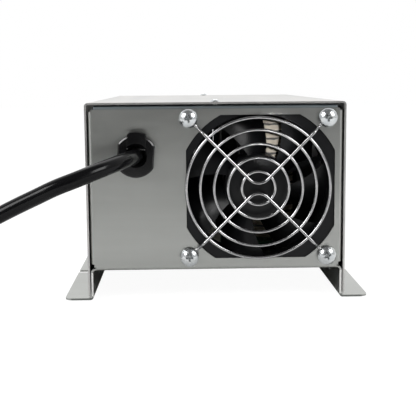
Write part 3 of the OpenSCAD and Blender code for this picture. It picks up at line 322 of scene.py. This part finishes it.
def spun(profile, steps=40):
    """A closed solid turned round Z from (radius, height) points that start and end on the axis."""
    shape = bmesh.new()
    row = [shape.verts.new((r, 0.0, z)) for r, z in profile]
    edges = [shape.edges.new(pair) for pair in zip(row, row[1:])]
    bmesh.ops.spin(shape, geom=row + edges, cent=(0, 0, 0), axis=(0, 0, 1), angle=2 * math.pi,
                   steps=steps, use_merge=True, use_normal_flip=False, use_duplicate=False)
    bmesh.ops.remove_doubles(shape, verts=shape.verts, dist=1e-7)
    bmesh.ops.recalc_face_normals(shape, faces=shape.faces)
    return shape


def placed(shape, matrix):
    """The same bmesh, moved."""
    bmesh.ops.transform(shape, matrix=matrix, verts=shape.verts)
    return shape


def turned_by(degrees, axis):
    """A turn round an axis."""
    return Matrix.Rotation(math.radians(degrees), 4, axis)


def joined(*shapes):
    """One bmesh from several, whose shells stay apart."""
    whole = bmesh.new()
    for shape in shapes:
        part = bpy.data.meshes.new("part")
        shape.to_mesh(part)
        shape.free()
        whole.from_mesh(part)
        bpy.data.meshes.remove(part)
    return whole


def cut(shape, tool):
    """The first bmesh with the second cut out of it."""
    made = []
    for name, solid in (("blank", shape), ("tool", tool)):
        mesh = bpy.data.meshes.new(name)
        solid.to_mesh(mesh)
        solid.free()
        made.append(linked(name, mesh))
    carve = made[0].modifiers.new("carve", "BOOLEAN")
    carve.operation = "DIFFERENCE"
    carve.solver = "EXACT"
    carve.object = made[1]
    bpy.context.view_layer.update()
    result = bmesh.new()
    result.from_object(made[0], bpy.context.evaluated_depsgraph_get())
    for old in made:
        mesh = old.data
        bpy.data.objects.remove(old)
        bpy.data.meshes.remove(mesh)
    bmesh.ops.remove_doubles(result, verts=result.verts, dist=1e-7)
    return result


def piece(name, shape, material, replaces, body="case", crease=35.0):
    """Makes the bmesh a piece of the object, riding on a body in place of its CAD nodes."""
    mesh = bpy.data.meshes.new(name)
    shape.to_mesh(mesh)
    shape.free()
    mesh.shade_smooth()
    mesh.set_sharp_from_angle(angle=math.radians(crease))
    mesh.materials.append(material)
    made = linked(name, mesh)
    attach(made, body)
    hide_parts(*replaces)
    return made


vinyl = finish("moulded_vinyl", (0.007, 0.007, 0.008), (0.012, 0.012, 0.013), 0.36, 0.52,
               patch=40, grain=3200, relief=0.00002, specular=0.45)
plug_face = Vector((-0.2349, -0.0223, 0.0117))
plug_thick = 0.0234
sides = arc_of((-0.0140, -0.0015), 0.0015, 90, 180, 4) + [(-0.0155, -0.0125)]
sides += arc_of((-0.0275, -0.024), 0.017, 36, -33, 8)
sides += [(-0.0115, -0.038)]
body = outline_solid(sides + [(-x, y) for x, y in reversed(sides)], plug_thick)
flat_edges = [e for e in body.edges if abs(e.verts[0].co.z - e.verts[1].co.z) < 1e-6]
round_edges(body, flat_edges, 0.0013, 4, clamp=False)
body = placed(body, Matrix.Translation((0.0, 0.0, -plug_thick / 2)))

tail_r = 0.0074
rib_step = 0.005
tail_rows = [(0.0, -0.036), (tail_r, -0.036), (tail_r, -0.0385)]
for rib in range(4):
    start = -0.0430 - rib_step * rib
    r = tail_r - 0.0023 * rib_step * (1 + rib) / 0.026
    low = 0.0049 + 0.0004 * (3 - rib)
    tail_rows += [(r, start + 0.0012), (r - 0.0003, start + 0.0003), (low, start),
                  (low, start - 0.0018), (r - 0.0005, start - 0.0021), (r - 0.0002, start - 0.0030)]
tail_rows += [(0.0052, -0.0632), (0.0046, -0.0640), (0.0, -0.0640)]
tail = placed(spun(tail_rows), turned_by(-90, "X"))
plug_body = piece("plug_body_moulding", placed(joined(body, tail), Matrix.Translation(plug_face)),
                  vinyl, ["plug_body"])


# Plug contacts: two folded brass blades with a hole near the tip, and a longer round ground
# pin, all moulded into the plug.
def surface(material, *names):
    """Gives CAD pieces their surface."""
    for name in names:
        nodes[name].data.materials[0] = material


surface(finish("drawn_brass", (0.60, 0.44, 0.17), (0.70, 0.54, 0.25), 0.22, 0.34, metal=1.0,
               patch=60, grain=700, stretch=(1, 0.06, 1), relief=0.000004),
        "plug_blades", "plug_ground_pin")


# Tie: a black woven strap drawn tight round all the turns of the coil, with its end lapped
# over on top.
def hull(points):
    """The convex outline round points, anticlockwise."""
    rows = []
    for order in (sorted(points), sorted(points, reverse=True)):
        row = []
        for x, y in order:
            while len(row) > 1 and ((row[-1][0] - row[-2][0]) * (y - row[-2][1])
                                    <= (row[-1][1] - row[-2][1]) * (x - row[-2][0])):
                row.pop()
            row.append((x, y))
        rows += row[:-1]
    return rows


def round_turns(radius):
    """The outline of a band drawn round the turns, at radius from the middle of each."""
    return hull([point for middle in turns_there for point in arc_of(middle, radius, 0, 350, 35)])


strap = finish("woven_strap", (0.014, 0.014, 0.016), (0.045, 0.045, 0.048), 0.70, 0.92,
               patch=900, grain=1600, stretch=(1, 1, 0.6), relief=0.00012, specular=0.25)
turns_there = ((-0.00705, -0.0039), (0.00075, -0.0039), (0.00835, -0.0024), (0.00755, 0.0039),
               (-0.00025, 0.0039))
strap_wide = 0.010
loop = cut(outline_solid(round_turns(0.0048), strap_wide),
           placed(outline_solid(round_turns(0.0040), 0.014), Matrix.Translation((0, 0, -0.002))))
over_lap = [p for p in round_turns(0.0056) if p[1] > 0.0060 and p[0] < 0.0050]
under_lap = [p for p in round_turns(0.00475) if p[1] > 0.0055 and p[0] < 0.0050]
lapped = outline_solid(over_lap + under_lap[::-1], strap_wide)
strap_loop = placed(joined(loop, lapped), Matrix.Translation((0.0, 0.0, -strap_wide / 2)))
lay = (Matrix.Translation(coil_middle + Vector((0, 0, lower_layer + lead_thick / 2))) @ turned_by(45, "Z")
       @ Matrix.Translation((0.00025 - middle_turn, 0, 0)) @ turned_by(90, "X"))
coil_strap = piece("coil_strap", placed(strap_loop, lay), strap, ["coil_tie"], crease=50)


# Chassis: floor, legs, feet and end panels bent from one sheet of plain rolled aluminium. Its panel
# has a strip of painted dark bluish reflection along its top bend, and the cut front edges of legs and
# feet carry a painted highlight, with painted shade where they meet the floor.
def sheet_finish(name, deep, pale, smooth, dull, stretch, relief):
    """Rolled aluminium: faint streaks along the rolling, and soft patches."""
    return finish(name, deep, pale, smooth, dull, metal=1.0, patch=22, grain=260,
                  stretch=stretch, relief=relief)


def blend_in(material, label, share, value, kind="RGBA", how="MIX"):
    """Mixes a share of value into what feeds one input of a material's surface."""
    tree = material.node_tree
    fed = tree.nodes["Principled BSDF"].inputs[label]
    mix = shader(tree, "ShaderNodeMix", {"Factor": share, "A": fed.links[0].from_socket, "B": value},
                 data_type=kind, blend_type=how)
    tree.links.new(mix.outputs["Result"], fed)


def paint_light_or_shade(material, limits, tint, dull):
    """Paints light or shade into a material: mixes in a tint and moves its roughness to dull
    where all limits hold. Each limit is an Object axis, where the tint starts on it and where it is full."""
    tree = material.node_tree
    at = shader(tree, "ShaderNodeTexCoord").outputs["Object"]
    axes = shader(tree, "ShaderNodeSeparateXYZ", {0: at})
    share = 1.0
    for axis, start, full in limits:
        share = maths(tree, "MULTIPLY", share, spread(tree, axes.outputs[axis], start, full))
    blend_in(material, "Base Color", share, (*tint, 1.0))
    blend_in(material, "Roughness", share, dull, kind="FLOAT")


case_sheet = sheet_finish("case_sheet", (0.455, 0.465, 0.445), (0.51, 0.52, 0.50), 0.30, 0.36,
                          (0.25, 1, 3), 0.0000015)
cut_front = ("Y", -0.1396, -0.1399)
# Painted reflection: a dark bluish strip along the panel's top bend.
paint_light_or_shade(case_sheet, (("Y", -0.1376, -0.1386), ("Z", 0.0986, 0.0994)), (0.28, 0.32, 0.34), 0.40)
# Painted highlight: the cut front edges of the legs and feet made pale.
paint_light_or_shade(case_sheet, (cut_front, ("Z", 0.0146, 0.0142), ("Z", 0.0016, 0.0024)), (0.92, 0.92, 0.90), 0.60)
# Painted shade: the foot of those cut edges darkened next to the floor.
paint_light_or_shade(case_sheet, (cut_front, ("Z", 0.0020, 0.0014)), (0.24, 0.25, 0.24), 0.50)
surface(case_sheet, "chassis")

# Cover: an upside-down U bent from the same sheet, with its rolling along the case, screwed
# down over the chassis.
# The cover's colour is a paler copy of the chassis sheet's: painted light on its top.
surface(sheet_finish("cover_sheet", (0.60, 0.60, 0.59), (0.68, 0.67, 0.65), 0.33, 0.39,
                     (3, 0.25, 3), 0.0000004), "cover")


# Screws and nuts: steel with a bright zinc plate. The four fan screws have domed heads with
# pressed crosses, which are rougher inside and darkened there with painted shade, and sit in the guard's wire
# loops.
def cross_head(radius, height, shank, length, turn):
    """A domed screw head on z 0 with a tapered cross in it, and its shank below."""
    arm, slot, deep, rim, steps = 0.50, 0.12, 0.74, 0.00025, 9
    dome = (height * height + radius * radius) / (2 * height)
    rows = [(0.0, -length), (shank * 0.7, -length), (shank, -length + shank * 0.3), (shank, 0.0),
            (radius - rim, 0.0), (radius, rim)]
    full = math.asin(radius / dome)
    for k in range(1, steps):
        left = 1 - k / steps
        rows.append((dome * math.sin(full * left), height - dome + dome * math.cos(full * left) + rim * left))
    rows.append((0.0, height))
    head = spun(rows, 48)
    for quarter in (0, 90):
        bar = bmesh.new()
        bmesh.ops.create_cube(bar, size=1.0)
        bmesh.ops.scale(bar, verts=bar.verts, vec=(radius * 2 * arm, radius * 2 * slot, height))
        low = [v for v in bar.verts if v.co.z < 0]
        bmesh.ops.scale(bar, verts=low, vec=(0.45, 0.75, 1.0))
        placed(bar, turned_by(quarter + turn, "Z") @ Matrix.Translation((0, 0, height * (1.5 - deep))))
        head = cut(head, bar)
    for face in head.faces:
        at = face.calc_center_median()
        skin = height - dome + math.sqrt(max(dome * dome - at.x * at.x - at.y * at.y, 0.0))
        # Faces inside the cross take the second material, darkened with painted shade.
        face.material_index = int(at.z > 0.0004 and skin - at.z > 0.00008)
    return head


def on_front(x, z, out=0.0):
    """From a place on the front panel's outer face: X right, Y up, Z towards the viewer."""
    return Matrix.Translation((x, front_y - out, z)) @ turned_by(90, "X")


front_y = -0.140
fan_x, fan_z = 0.0216, 0.0582
half_pitch = 0.03575
over_loop = 0.0017
zinc = finish("bright_zinc", (0.68, 0.71, 0.73), (0.80, 0.82, 0.82), 0.17, 0.29, metal=1.0,
              patch=300, grain=1500, relief=0.000004)
# Painted shade: a darker, rougher copy of the zinc for the insides of the crosses.
recess_zinc_painted_shade = finish("recess_zinc_painted_shade", (0.50, 0.52, 0.53), (0.68, 0.70, 0.70), 0.50, 0.66, metal=1.0,
                     patch=300, grain=1500, relief=0.000004)
for label, sx, sz, turn in (("upper_left", -1, 1, 8), ("upper_right", 1, 1, -6),
                            ("lower_left", -1, -1, 3), ("lower_right", 1, -1, 24)):
    screw = placed(cross_head(radius=0.0049, height=0.0028, shank=0.0020, length=0.0102, turn=turn),
                   on_front(fan_x + sx * half_pitch, fan_z + sz * half_pitch, over_loop))
    made = piece("fan_screw_" + label, screw, zinc, ["fan_screws"], crease=30)
    made.data.materials.append(recess_zinc_painted_shade)
surface(zinc, "cover_screws", "fan_nuts", "board_screws", "standoffs", "ground_lug_screws", "lug_bolts",
        "lug_set_screws", "fuse_clips", "transistor_screws")


# Finger guard: five rings of bright plated wire, spot-welded under two bent wires that end in
# a loop round each fan screw.
def drawn_wire(name, painted_light_stops):
    """Plated wire with painted highlights and painted shade over its width, set by (how far the surface turns
    from the view, tone) pairs.
    """
    made = finish(name, (0.50, 0.50, 0.51), (0.62, 0.62, 0.62), 0.14, 0.24, metal=1.0,
                  patch=200, grain=900, relief=0.000003)
    tree = made.node_tree
    turning = shader(tree, "ShaderNodeLayerWeight").outputs["Facing"]
    painted_light_ramp = shader(tree, "ShaderNodeValToRGB", {"Fac": turning})
    for k, (place, tone) in enumerate(painted_light_stops):
        stop = painted_light_ramp.color_ramp.elements[k] if k < 2 else painted_light_ramp.color_ramp.elements.new(place)
        stop.position = place
        stop.color = (tone, tone, tone, 1.0)
    blend_in(made, "Base Color", 1.0, painted_light_ramp.outputs["Color"], how="MULTIPLY")
    return made


wire_thick = 0.0016
first_ring, ring_step = 0.0086, 0.0071
ring_lift, bent_lift, loop_lift = 0.0032, 0.00455, 0.00085
loop_r = 0.00305
centre_r = 0.0065
leg_end, jog_out, jog_in, jog_r = 0.0476, 0.04497, 0.0392, 0.0025
ring_look, bent_look = 0, 1
# Rings: a painted highlight down the middle, painted shade at the sides. Bent wires: painted shade down the
# middle, painted highlight bands beside it, painted shade at the sides.
guard_curve = tube(
    "finger_guard_wires", wire_thick / 2, 4,
    drawn_wire("guard_ring_wire", ((0.0, 1.0), (1.0, 0.10), (0.20, 0.95), (0.45, 0.25))),
    drawn_wire("guard_bent_wire", ((0.0, 0.30), (1.0, 0.12), (0.03, 0.40), (0.10, 1.0), (0.28, 1.0),
                                   (0.5, 0.3))))


def wire(points, look, closed=False):
    """Adds a round wire through points (x, y, height over the panel) about the fan's middle."""
    run = guard_curve.splines.new("POLY")
    run.material_index = look
    run.points.add(len(points) - 1)
    for knot, (x, y, h) in zip(run.points, points):
        knot.co = (fan_x + x, front_y - h, fan_z + y, 1.0)
    run.use_cyclic_u = closed


for k, flat in enumerate((1.0, 1.0, 1.0, 1.0, 0.978)):
    ring = ring_of((0, 0), first_ring + ring_step * k, 72 + 24 * k)
    wire([(x, y * flat, ring_lift) for x, y in ring], ring_look, closed=True)
for sx in (-1, 1):
    for sy in (-1, 1):
        loop = ring_of((sx * half_pitch, sy * half_pitch), loop_r, 32)
        wire([(x, y, loop_lift) for x, y in loop], ring_look, closed=True)
leg = [(leg_end, loop_lift), (jog_out, loop_lift)]
leg += [(jog_out - x, loop_lift + jog_r - y) for y, x in arc_of((0, 0), jog_r, 9, 45, 4)]
leg += [(jog_in + y, bent_lift - jog_r + x) for x, y in arc_of((0, 0), jog_r, 45, 0, 5)]
half_root = math.sqrt(0.5)
for flip in (1, -1):
    bent = [(u, 0.0, h) for u, h in leg]
    bent += [(x, y, bent_lift) for x, y in arc_of((centre_r, centre_r), centre_r, 270, 180, 14)]
    bent += [(0.0, u, h) for u, h in reversed(leg)]
    wire([(flip * half_root * (u - v), flip * half_root * (u + v), h) for u, v, h in bent], bent_look)
finger_guard = linked("finger_guard_wires", guard_curve)
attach(finger_guard, "case")
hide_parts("finger_guard")

# Fan frame: square body and round duct, moulded in one from glass-filled black nylon and held
# by the four fan screws.
surface(finish("fan_nylon", (0.0050, 0.0052, 0.006), (0.008, 0.0085, 0.0095), 0.30, 0.42,
               patch=60, grain=2400, specular=0.28), "fan_frame")


# Fan rotor: hub and seven swept blades moulded together, glossier than the frame, over a
# magnet ring, a ground shaft in a bronze bearing, and the laminated stator.
def blade_place(f, s, lift):
    """A point on a blade: f from root to tip, s along the chord, lift across its thickness."""
    radius = blade_root + f * blade_span
    angle = math.radians(90 - (first_edge + skew * (1 - f) + s * chord))
    arch = math.sin(math.pi * s)
    slope = (0.0153 - 0.003 * f) * (0.5 - s)
    half_thick = 0.00035 + 0.0005 * arch
    return Vector((radius * math.cos(angle), radius * math.sin(angle),
                   blade_middle + slope + 0.0016 * arch + lift * half_thick))


blade_count = 7
blade_root, blade_span, blade_middle = 0.0163, 0.0209, -0.01045
first_edge, skew, chord = 19, 16, 36.51
chord_steps = 12
span_steps = 12
rotor_black = finish("rotor_nylon", (0.0050, 0.0053, 0.006), (0.0075, 0.0078, 0.0085), 0.26, 0.36,
                     patch=50, grain=2000, relief=0.000003, specular=0.28)
hub = spun([(0.0, -0.0015), (0.0152, -0.0015), (0.0161, -0.0017), (0.0168, -0.0024), (0.0170, -0.0033),
            (0.0170, -0.0200), (0.0156, -0.0200), (0.0156, -0.0031), (0.0035, -0.0031),
            (0.0035, -0.0071), (0.0015, -0.0071), (0.0015, -0.0026), (0.0, -0.0026)], 96)
around = [(k / chord_steps, 1) for k in range(chord_steps + 1)]
around += [(k / chord_steps, -1) for k in range(chord_steps - 1, 0, -1)]
blades = bmesh.new()
row = [blades.verts.new(blade_place(0.0, s, lift)) for s, lift in around]
rim = [blades.edges.new(pair) for pair in zip(row, row[1:] + row[:1])]
blades.faces.new(row)
for step in range(1, span_steps + 1):
    grown = bmesh.ops.extrude_edge_only(blades, edges=rim)["geom"]
    rim = [g for g in grown if isinstance(g, bmesh.types.BMEdge) and not set(g.verts) & set(row)]
    fresh = {vert for edge in rim for vert in edge.verts}
    row = [min(fresh, key=lambda vert: (vert.co - old.co).length) for old in row]
    for vert, (s, lift) in zip(row, around):
        vert.co = blade_place(step / span_steps, s, lift)
blades.faces.new(row)
bmesh.ops.recalc_face_normals(blades, faces=blades.faces)
bmesh.ops.spin(blades, geom=list(blades.verts) + list(blades.edges) + list(blades.faces), cent=(0, 0, 0),
               axis=(0, 0, 1), angle=2 * math.pi * (blade_count - 1) / blade_count, steps=blade_count - 1,
               use_merge=False, use_normal_flip=False, use_duplicate=True)
rotor = placed(joined(hub, blades), on_front(fan_x, fan_z, -0.001))
piece("fan_rotor_moulding", rotor, rotor_black, ["fan_rotor"], body="rotor", crease=40)
surface(finish("ring_magnet", (0.025, 0.024, 0.024), (0.045, 0.043, 0.042), 0.55, 0.75, patch=200),
        "fan_magnet")
surface(finish("ground_shaft", (0.66, 0.67, 0.68), (0.74, 0.74, 0.74), 0.10, 0.18, metal=1.0, grain=1200),
        "fan_shaft")
surface(finish("sintered_bronze", (0.42, 0.27, 0.12), (0.52, 0.35, 0.17), 0.30, 0.50, metal=1.0,
               grain=3000, relief=0.00002), "fan_bearing")
surface(finish("core_laminations", (0.28, 0.28, 0.29), (0.40, 0.40, 0.41), 0.35, 0.50, metal=1.0,
               patch=60, grain=1400, stretch=(0.05, 3, 0.05), relief=0.00002), "fan_stator")


# Bushing: two-piece strain relief of black nylon. The flanged body is open on top, and the
# wedge is driven in there until it grips the lead.
def flat_sided(radius, half_flats, depth, steps):
    """A cylinder on z 0 with a flat on its left and right."""
    at = math.degrees(math.acos(half_flats / radius))
    return outline_solid(arc_of((0, 0), radius, at, 180 - at, steps)
                         + arc_of((0, 0), radius, 180 + at, 360 - at, steps), depth)


shank_l = 0.0112
shank_start = Matrix.Translation((0, 0, -0.0110))
nylon = finish("bushing_nylon", (0.0035, 0.0035, 0.004), (0.006, 0.006, 0.0065), 0.13, 0.20,
               patch=60, grain=2600, relief=0.000002, specular=0.50)
cord_hole = on_front(-0.0410, 0.0752) @ turned_by(-4, "Z")
flange = flat_sided(radius=0.0109, half_flats=0.0093, depth=0.0041, steps=20)
top = [f for f in flange.faces if f.calc_center_median().z > 0.0040]
bmesh.ops.inset_region(flange, faces=top, thickness=0.0007, depth=0.0004, use_even_offset=True)
shank = placed(flat_sided(radius=0.0088, half_flats=0.0079, depth=shank_l, steps=12), shank_start)
bore = spun([(0.0, -0.0125), (0.0039, -0.0125), (0.0039, 0.0014), (0.0046, 0.0030), (0.0056, 0.0042),
             (0.0068, 0.0060), (0.0, 0.0060)])
wedge_way = bmesh.new()
bmesh.ops.create_cube(wedge_way, size=1.0)
bmesh.ops.scale(wedge_way, verts=wedge_way.verts, vec=(0.0097, 0.0160, 0.0200))
placed(wedge_way, Matrix.Translation((0, 0.0033 + 0.0080, -0.0020)))
body = joined(cut(cut(flange, bore.copy()), wedge_way.copy()), cut(cut(shank, bore), wedge_way))
piece("bushing_flanged_body", placed(body, cord_hole), nylon, ["bushing_body"],
      crease=24)
wedge_half, wedge_low = 0.0048, 0.0040
wedge_outline = ([(wedge_half, wedge_low)] + arc_of((0.0038, 0.0108), 0.0010, 0, 65, 3)
                 + arc_of((0, 0), 0.0125, 70.5, 109.5, 8)
                 + arc_of((-0.0038, 0.0108), 0.0010, 115, 180, 3) + [(-wedge_half, wedge_low)])
head = outline_solid(wedge_outline, 0.0070)
round_edges(head, [e for e in head.edges if all(v.co.z > 0.0069 for v in e.verts)
                   and max(v.co.y for v in e.verts) > 0.0045], 0.0010, 3)
head = cut(head, spun([(0.0, 0.0010), (0.0040, 0.0010), (0.0044, 0.0035), (0.0056, 0.0056),
                       (0.0074, 0.0080), (0.0, 0.0080)]))
stem = outline_solid([(-wedge_half, wedge_low), (wedge_half, wedge_low), (wedge_half, 2 * wedge_low),
                      (-wedge_half, 2 * wedge_low)], shank_l)
piece("bushing_driven_wedge", placed(joined(head, placed(stem, shank_start)), cord_hole), nylon,
      ["bushing_wedge"], crease=38)

# Transformer: a winding under bands of pale tape that wander a little, with painted shade in thin
# lines where they lap, on a fired ferrite core. Its two sleeved lead-outs run over the winding and down to
# the board.
band_pitch = 0.004154
first_lap = 0.0346
band_wander = 0.0016
tape = finish("winding_tape", (0.60, 0.52, 0.40), (0.76, 0.68, 0.55), 0.34, 0.52,
              patch=260, grain=900, relief=0.00005)
tree = tape.node_tree
at = shader(tree, "ShaderNodeTexCoord").outputs["Object"]
up = shader(tree, "ShaderNodeSeparateXYZ", {0: at}).outputs["Z"]
wander = shader(tree, "ShaderNodeTexNoise", {"Vector": at, "Scale": 260.0}).outputs["Fac"]
shifted = maths(tree, "MULTIPLY_ADD", wander, band_wander, up)
count = maths(tree, "MULTIPLY_ADD", shifted, 1 / band_pitch, -(first_lap + band_wander / 2) / band_pitch)
to_lap = maths(tree, "PINGPONG", maths(tree, "FRACT", count), 0.5)
# Painted shade: near-black lines where the tape bands lap.
blend_in(tape, "Base Color", spread(tree, to_lap, 0.17, 0.09), (0.045, 0.036, 0.026, 1.0))
surface(tape, "transformer_winding")
surface(finish("fired_ferrite", (0.020, 0.019, 0.019), (0.040, 0.038, 0.037), 0.48, 0.70,
               patch=200, grain=2600, relief=0.00003), "transformer_core", "filter_core")
sleeving = finish("lead_sleeving", (0.010, 0.010, 0.011), (0.020, 0.020, 0.021), 0.34, 0.50,
                  patch=100, grain=2600)
lead_outs = tube("winding_lead_outs", 0.0015, 4, sleeving)
for x, y in ((-0.0008, -0.0760), (0.0024, -0.0745)):
    smooth_run(lead_outs, [(0.0165, y, 0.0905), (0.0120, y, 0.0975), (0.0055, y, 0.0978),
                           (x + 0.0005, y, 0.0915), (x, y, 0.0800), (x, y, 0.0500), (x, y, 0.0241)])
winding_leads = linked("winding_lead_outs", lead_outs)
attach(winding_leads, "case")

# Circuit: green glass-epoxy boards, enamelled copper coils and straps, shrink-sleeved and boxed
# capacitors, a glass fuse, and leads in sleeving, all soldered to the board or screwed down.
surface(finish("solder_mask", (0.010, 0.085, 0.040), (0.018, 0.125, 0.060), 0.22, 0.36,
               patch=120, grain=1800), "circuit_board", "fan_board", "control_board")
surface(finish("enamelled_copper", (0.42, 0.14, 0.045), (0.60, 0.25, 0.09), 0.20, 0.34, metal=1.0,
               patch=120, grain=1300), "fan_coils", "choke_winding", "filter_coils", "bus_bars")
surface(finish("capacitor_sleeve", (0.012, 0.014, 0.030), (0.020, 0.022, 0.042), 0.18, 0.30,
               patch=80, grain=1600, specular=0.55), "bulk_capacitors", "output_capacitors")
surface(finish("boxed_yellow", (0.66, 0.42, 0.05), (0.78, 0.52, 0.09), 0.30, 0.46,
               patch=120, grain=2000), "output_choke", "filter_capacitor")
surface(finish("fuse_glass", (0.78, 0.80, 0.80), (0.88, 0.89, 0.89), 0.06, 0.12, patch=200,
               specular=0.6), "mains_fuse")
surface(finish("ground_insulation", (0.020, 0.22, 0.045), (0.035, 0.30, 0.07), 0.32, 0.44,
               patch=100, grain=2600), "ground_lead")
surface(finish("ivory_nylon", (0.60, 0.57, 0.47), (0.70, 0.67, 0.57), 0.36, 0.52, patch=150, grain=2400),
        "fan_socket")
surface(sleeving, "mains_leads", "fan_leads")

# Heat sinks: finned aluminium extrusions with a row of transistors, moulded in black epoxy,
# screwed to each.
surface(finish("extruded_sink", (0.50, 0.51, 0.52), (0.62, 0.62, 0.63), 0.30, 0.44, metal=1.0,
               patch=90, grain=1500, stretch=(1, 0.04, 1)), "heatsink_left", "heatsink_right")
black_epoxy = finish("moulded_epoxy", (0.016, 0.016, 0.017), (0.026, 0.026, 0.027), 0.48, 0.66,
                     patch=120, grain=2600, relief=0.00002)
surface(black_epoxy, "power_transistors")


# Output and ground: tin-plated lugs in a moulded block and on the case, and green blade fuses
# in their holder. Moulded and milled pieces have slightly broken edges.
def break_edges(width, *names):
    """Rounds the sharp edges of CAD pieces."""
    for name in names:
        weld = nodes[name].modifiers.new("weld", "WELD")
        weld.merge_threshold = 0.000001
        broken = nodes[name].modifiers.new("broken_edges", "BEVEL")
        broken.width = width
        broken.segments = 2
        broken.limit_method = "ANGLE"
        broken.angle_limit = math.radians(50)
        broken.harden_normals = True


surface(black_epoxy, "terminal_block", "fuse_holder")
surface(finish("fuse_green", (0.02, 0.30, 0.10), (0.05, 0.40, 0.15), 0.22, 0.36, patch=200, grain=2000),
        "blade_fuses")
surface(finish("tin_plate", (0.60, 0.60, 0.59), (0.70, 0.70, 0.68), 0.26, 0.38, metal=1.0,
               patch=150, grain=1200, stretch=(1, 0.1, 1)), "output_lugs", "ground_lug")
break_edges(0.0006, "terminal_block", "fuse_holder")
break_edges(0.0005, "filter_capacitor")
break_edges(0.0004, "blade_fuses", "output_lugs")
break_edges(0.0003, "ground_lug")
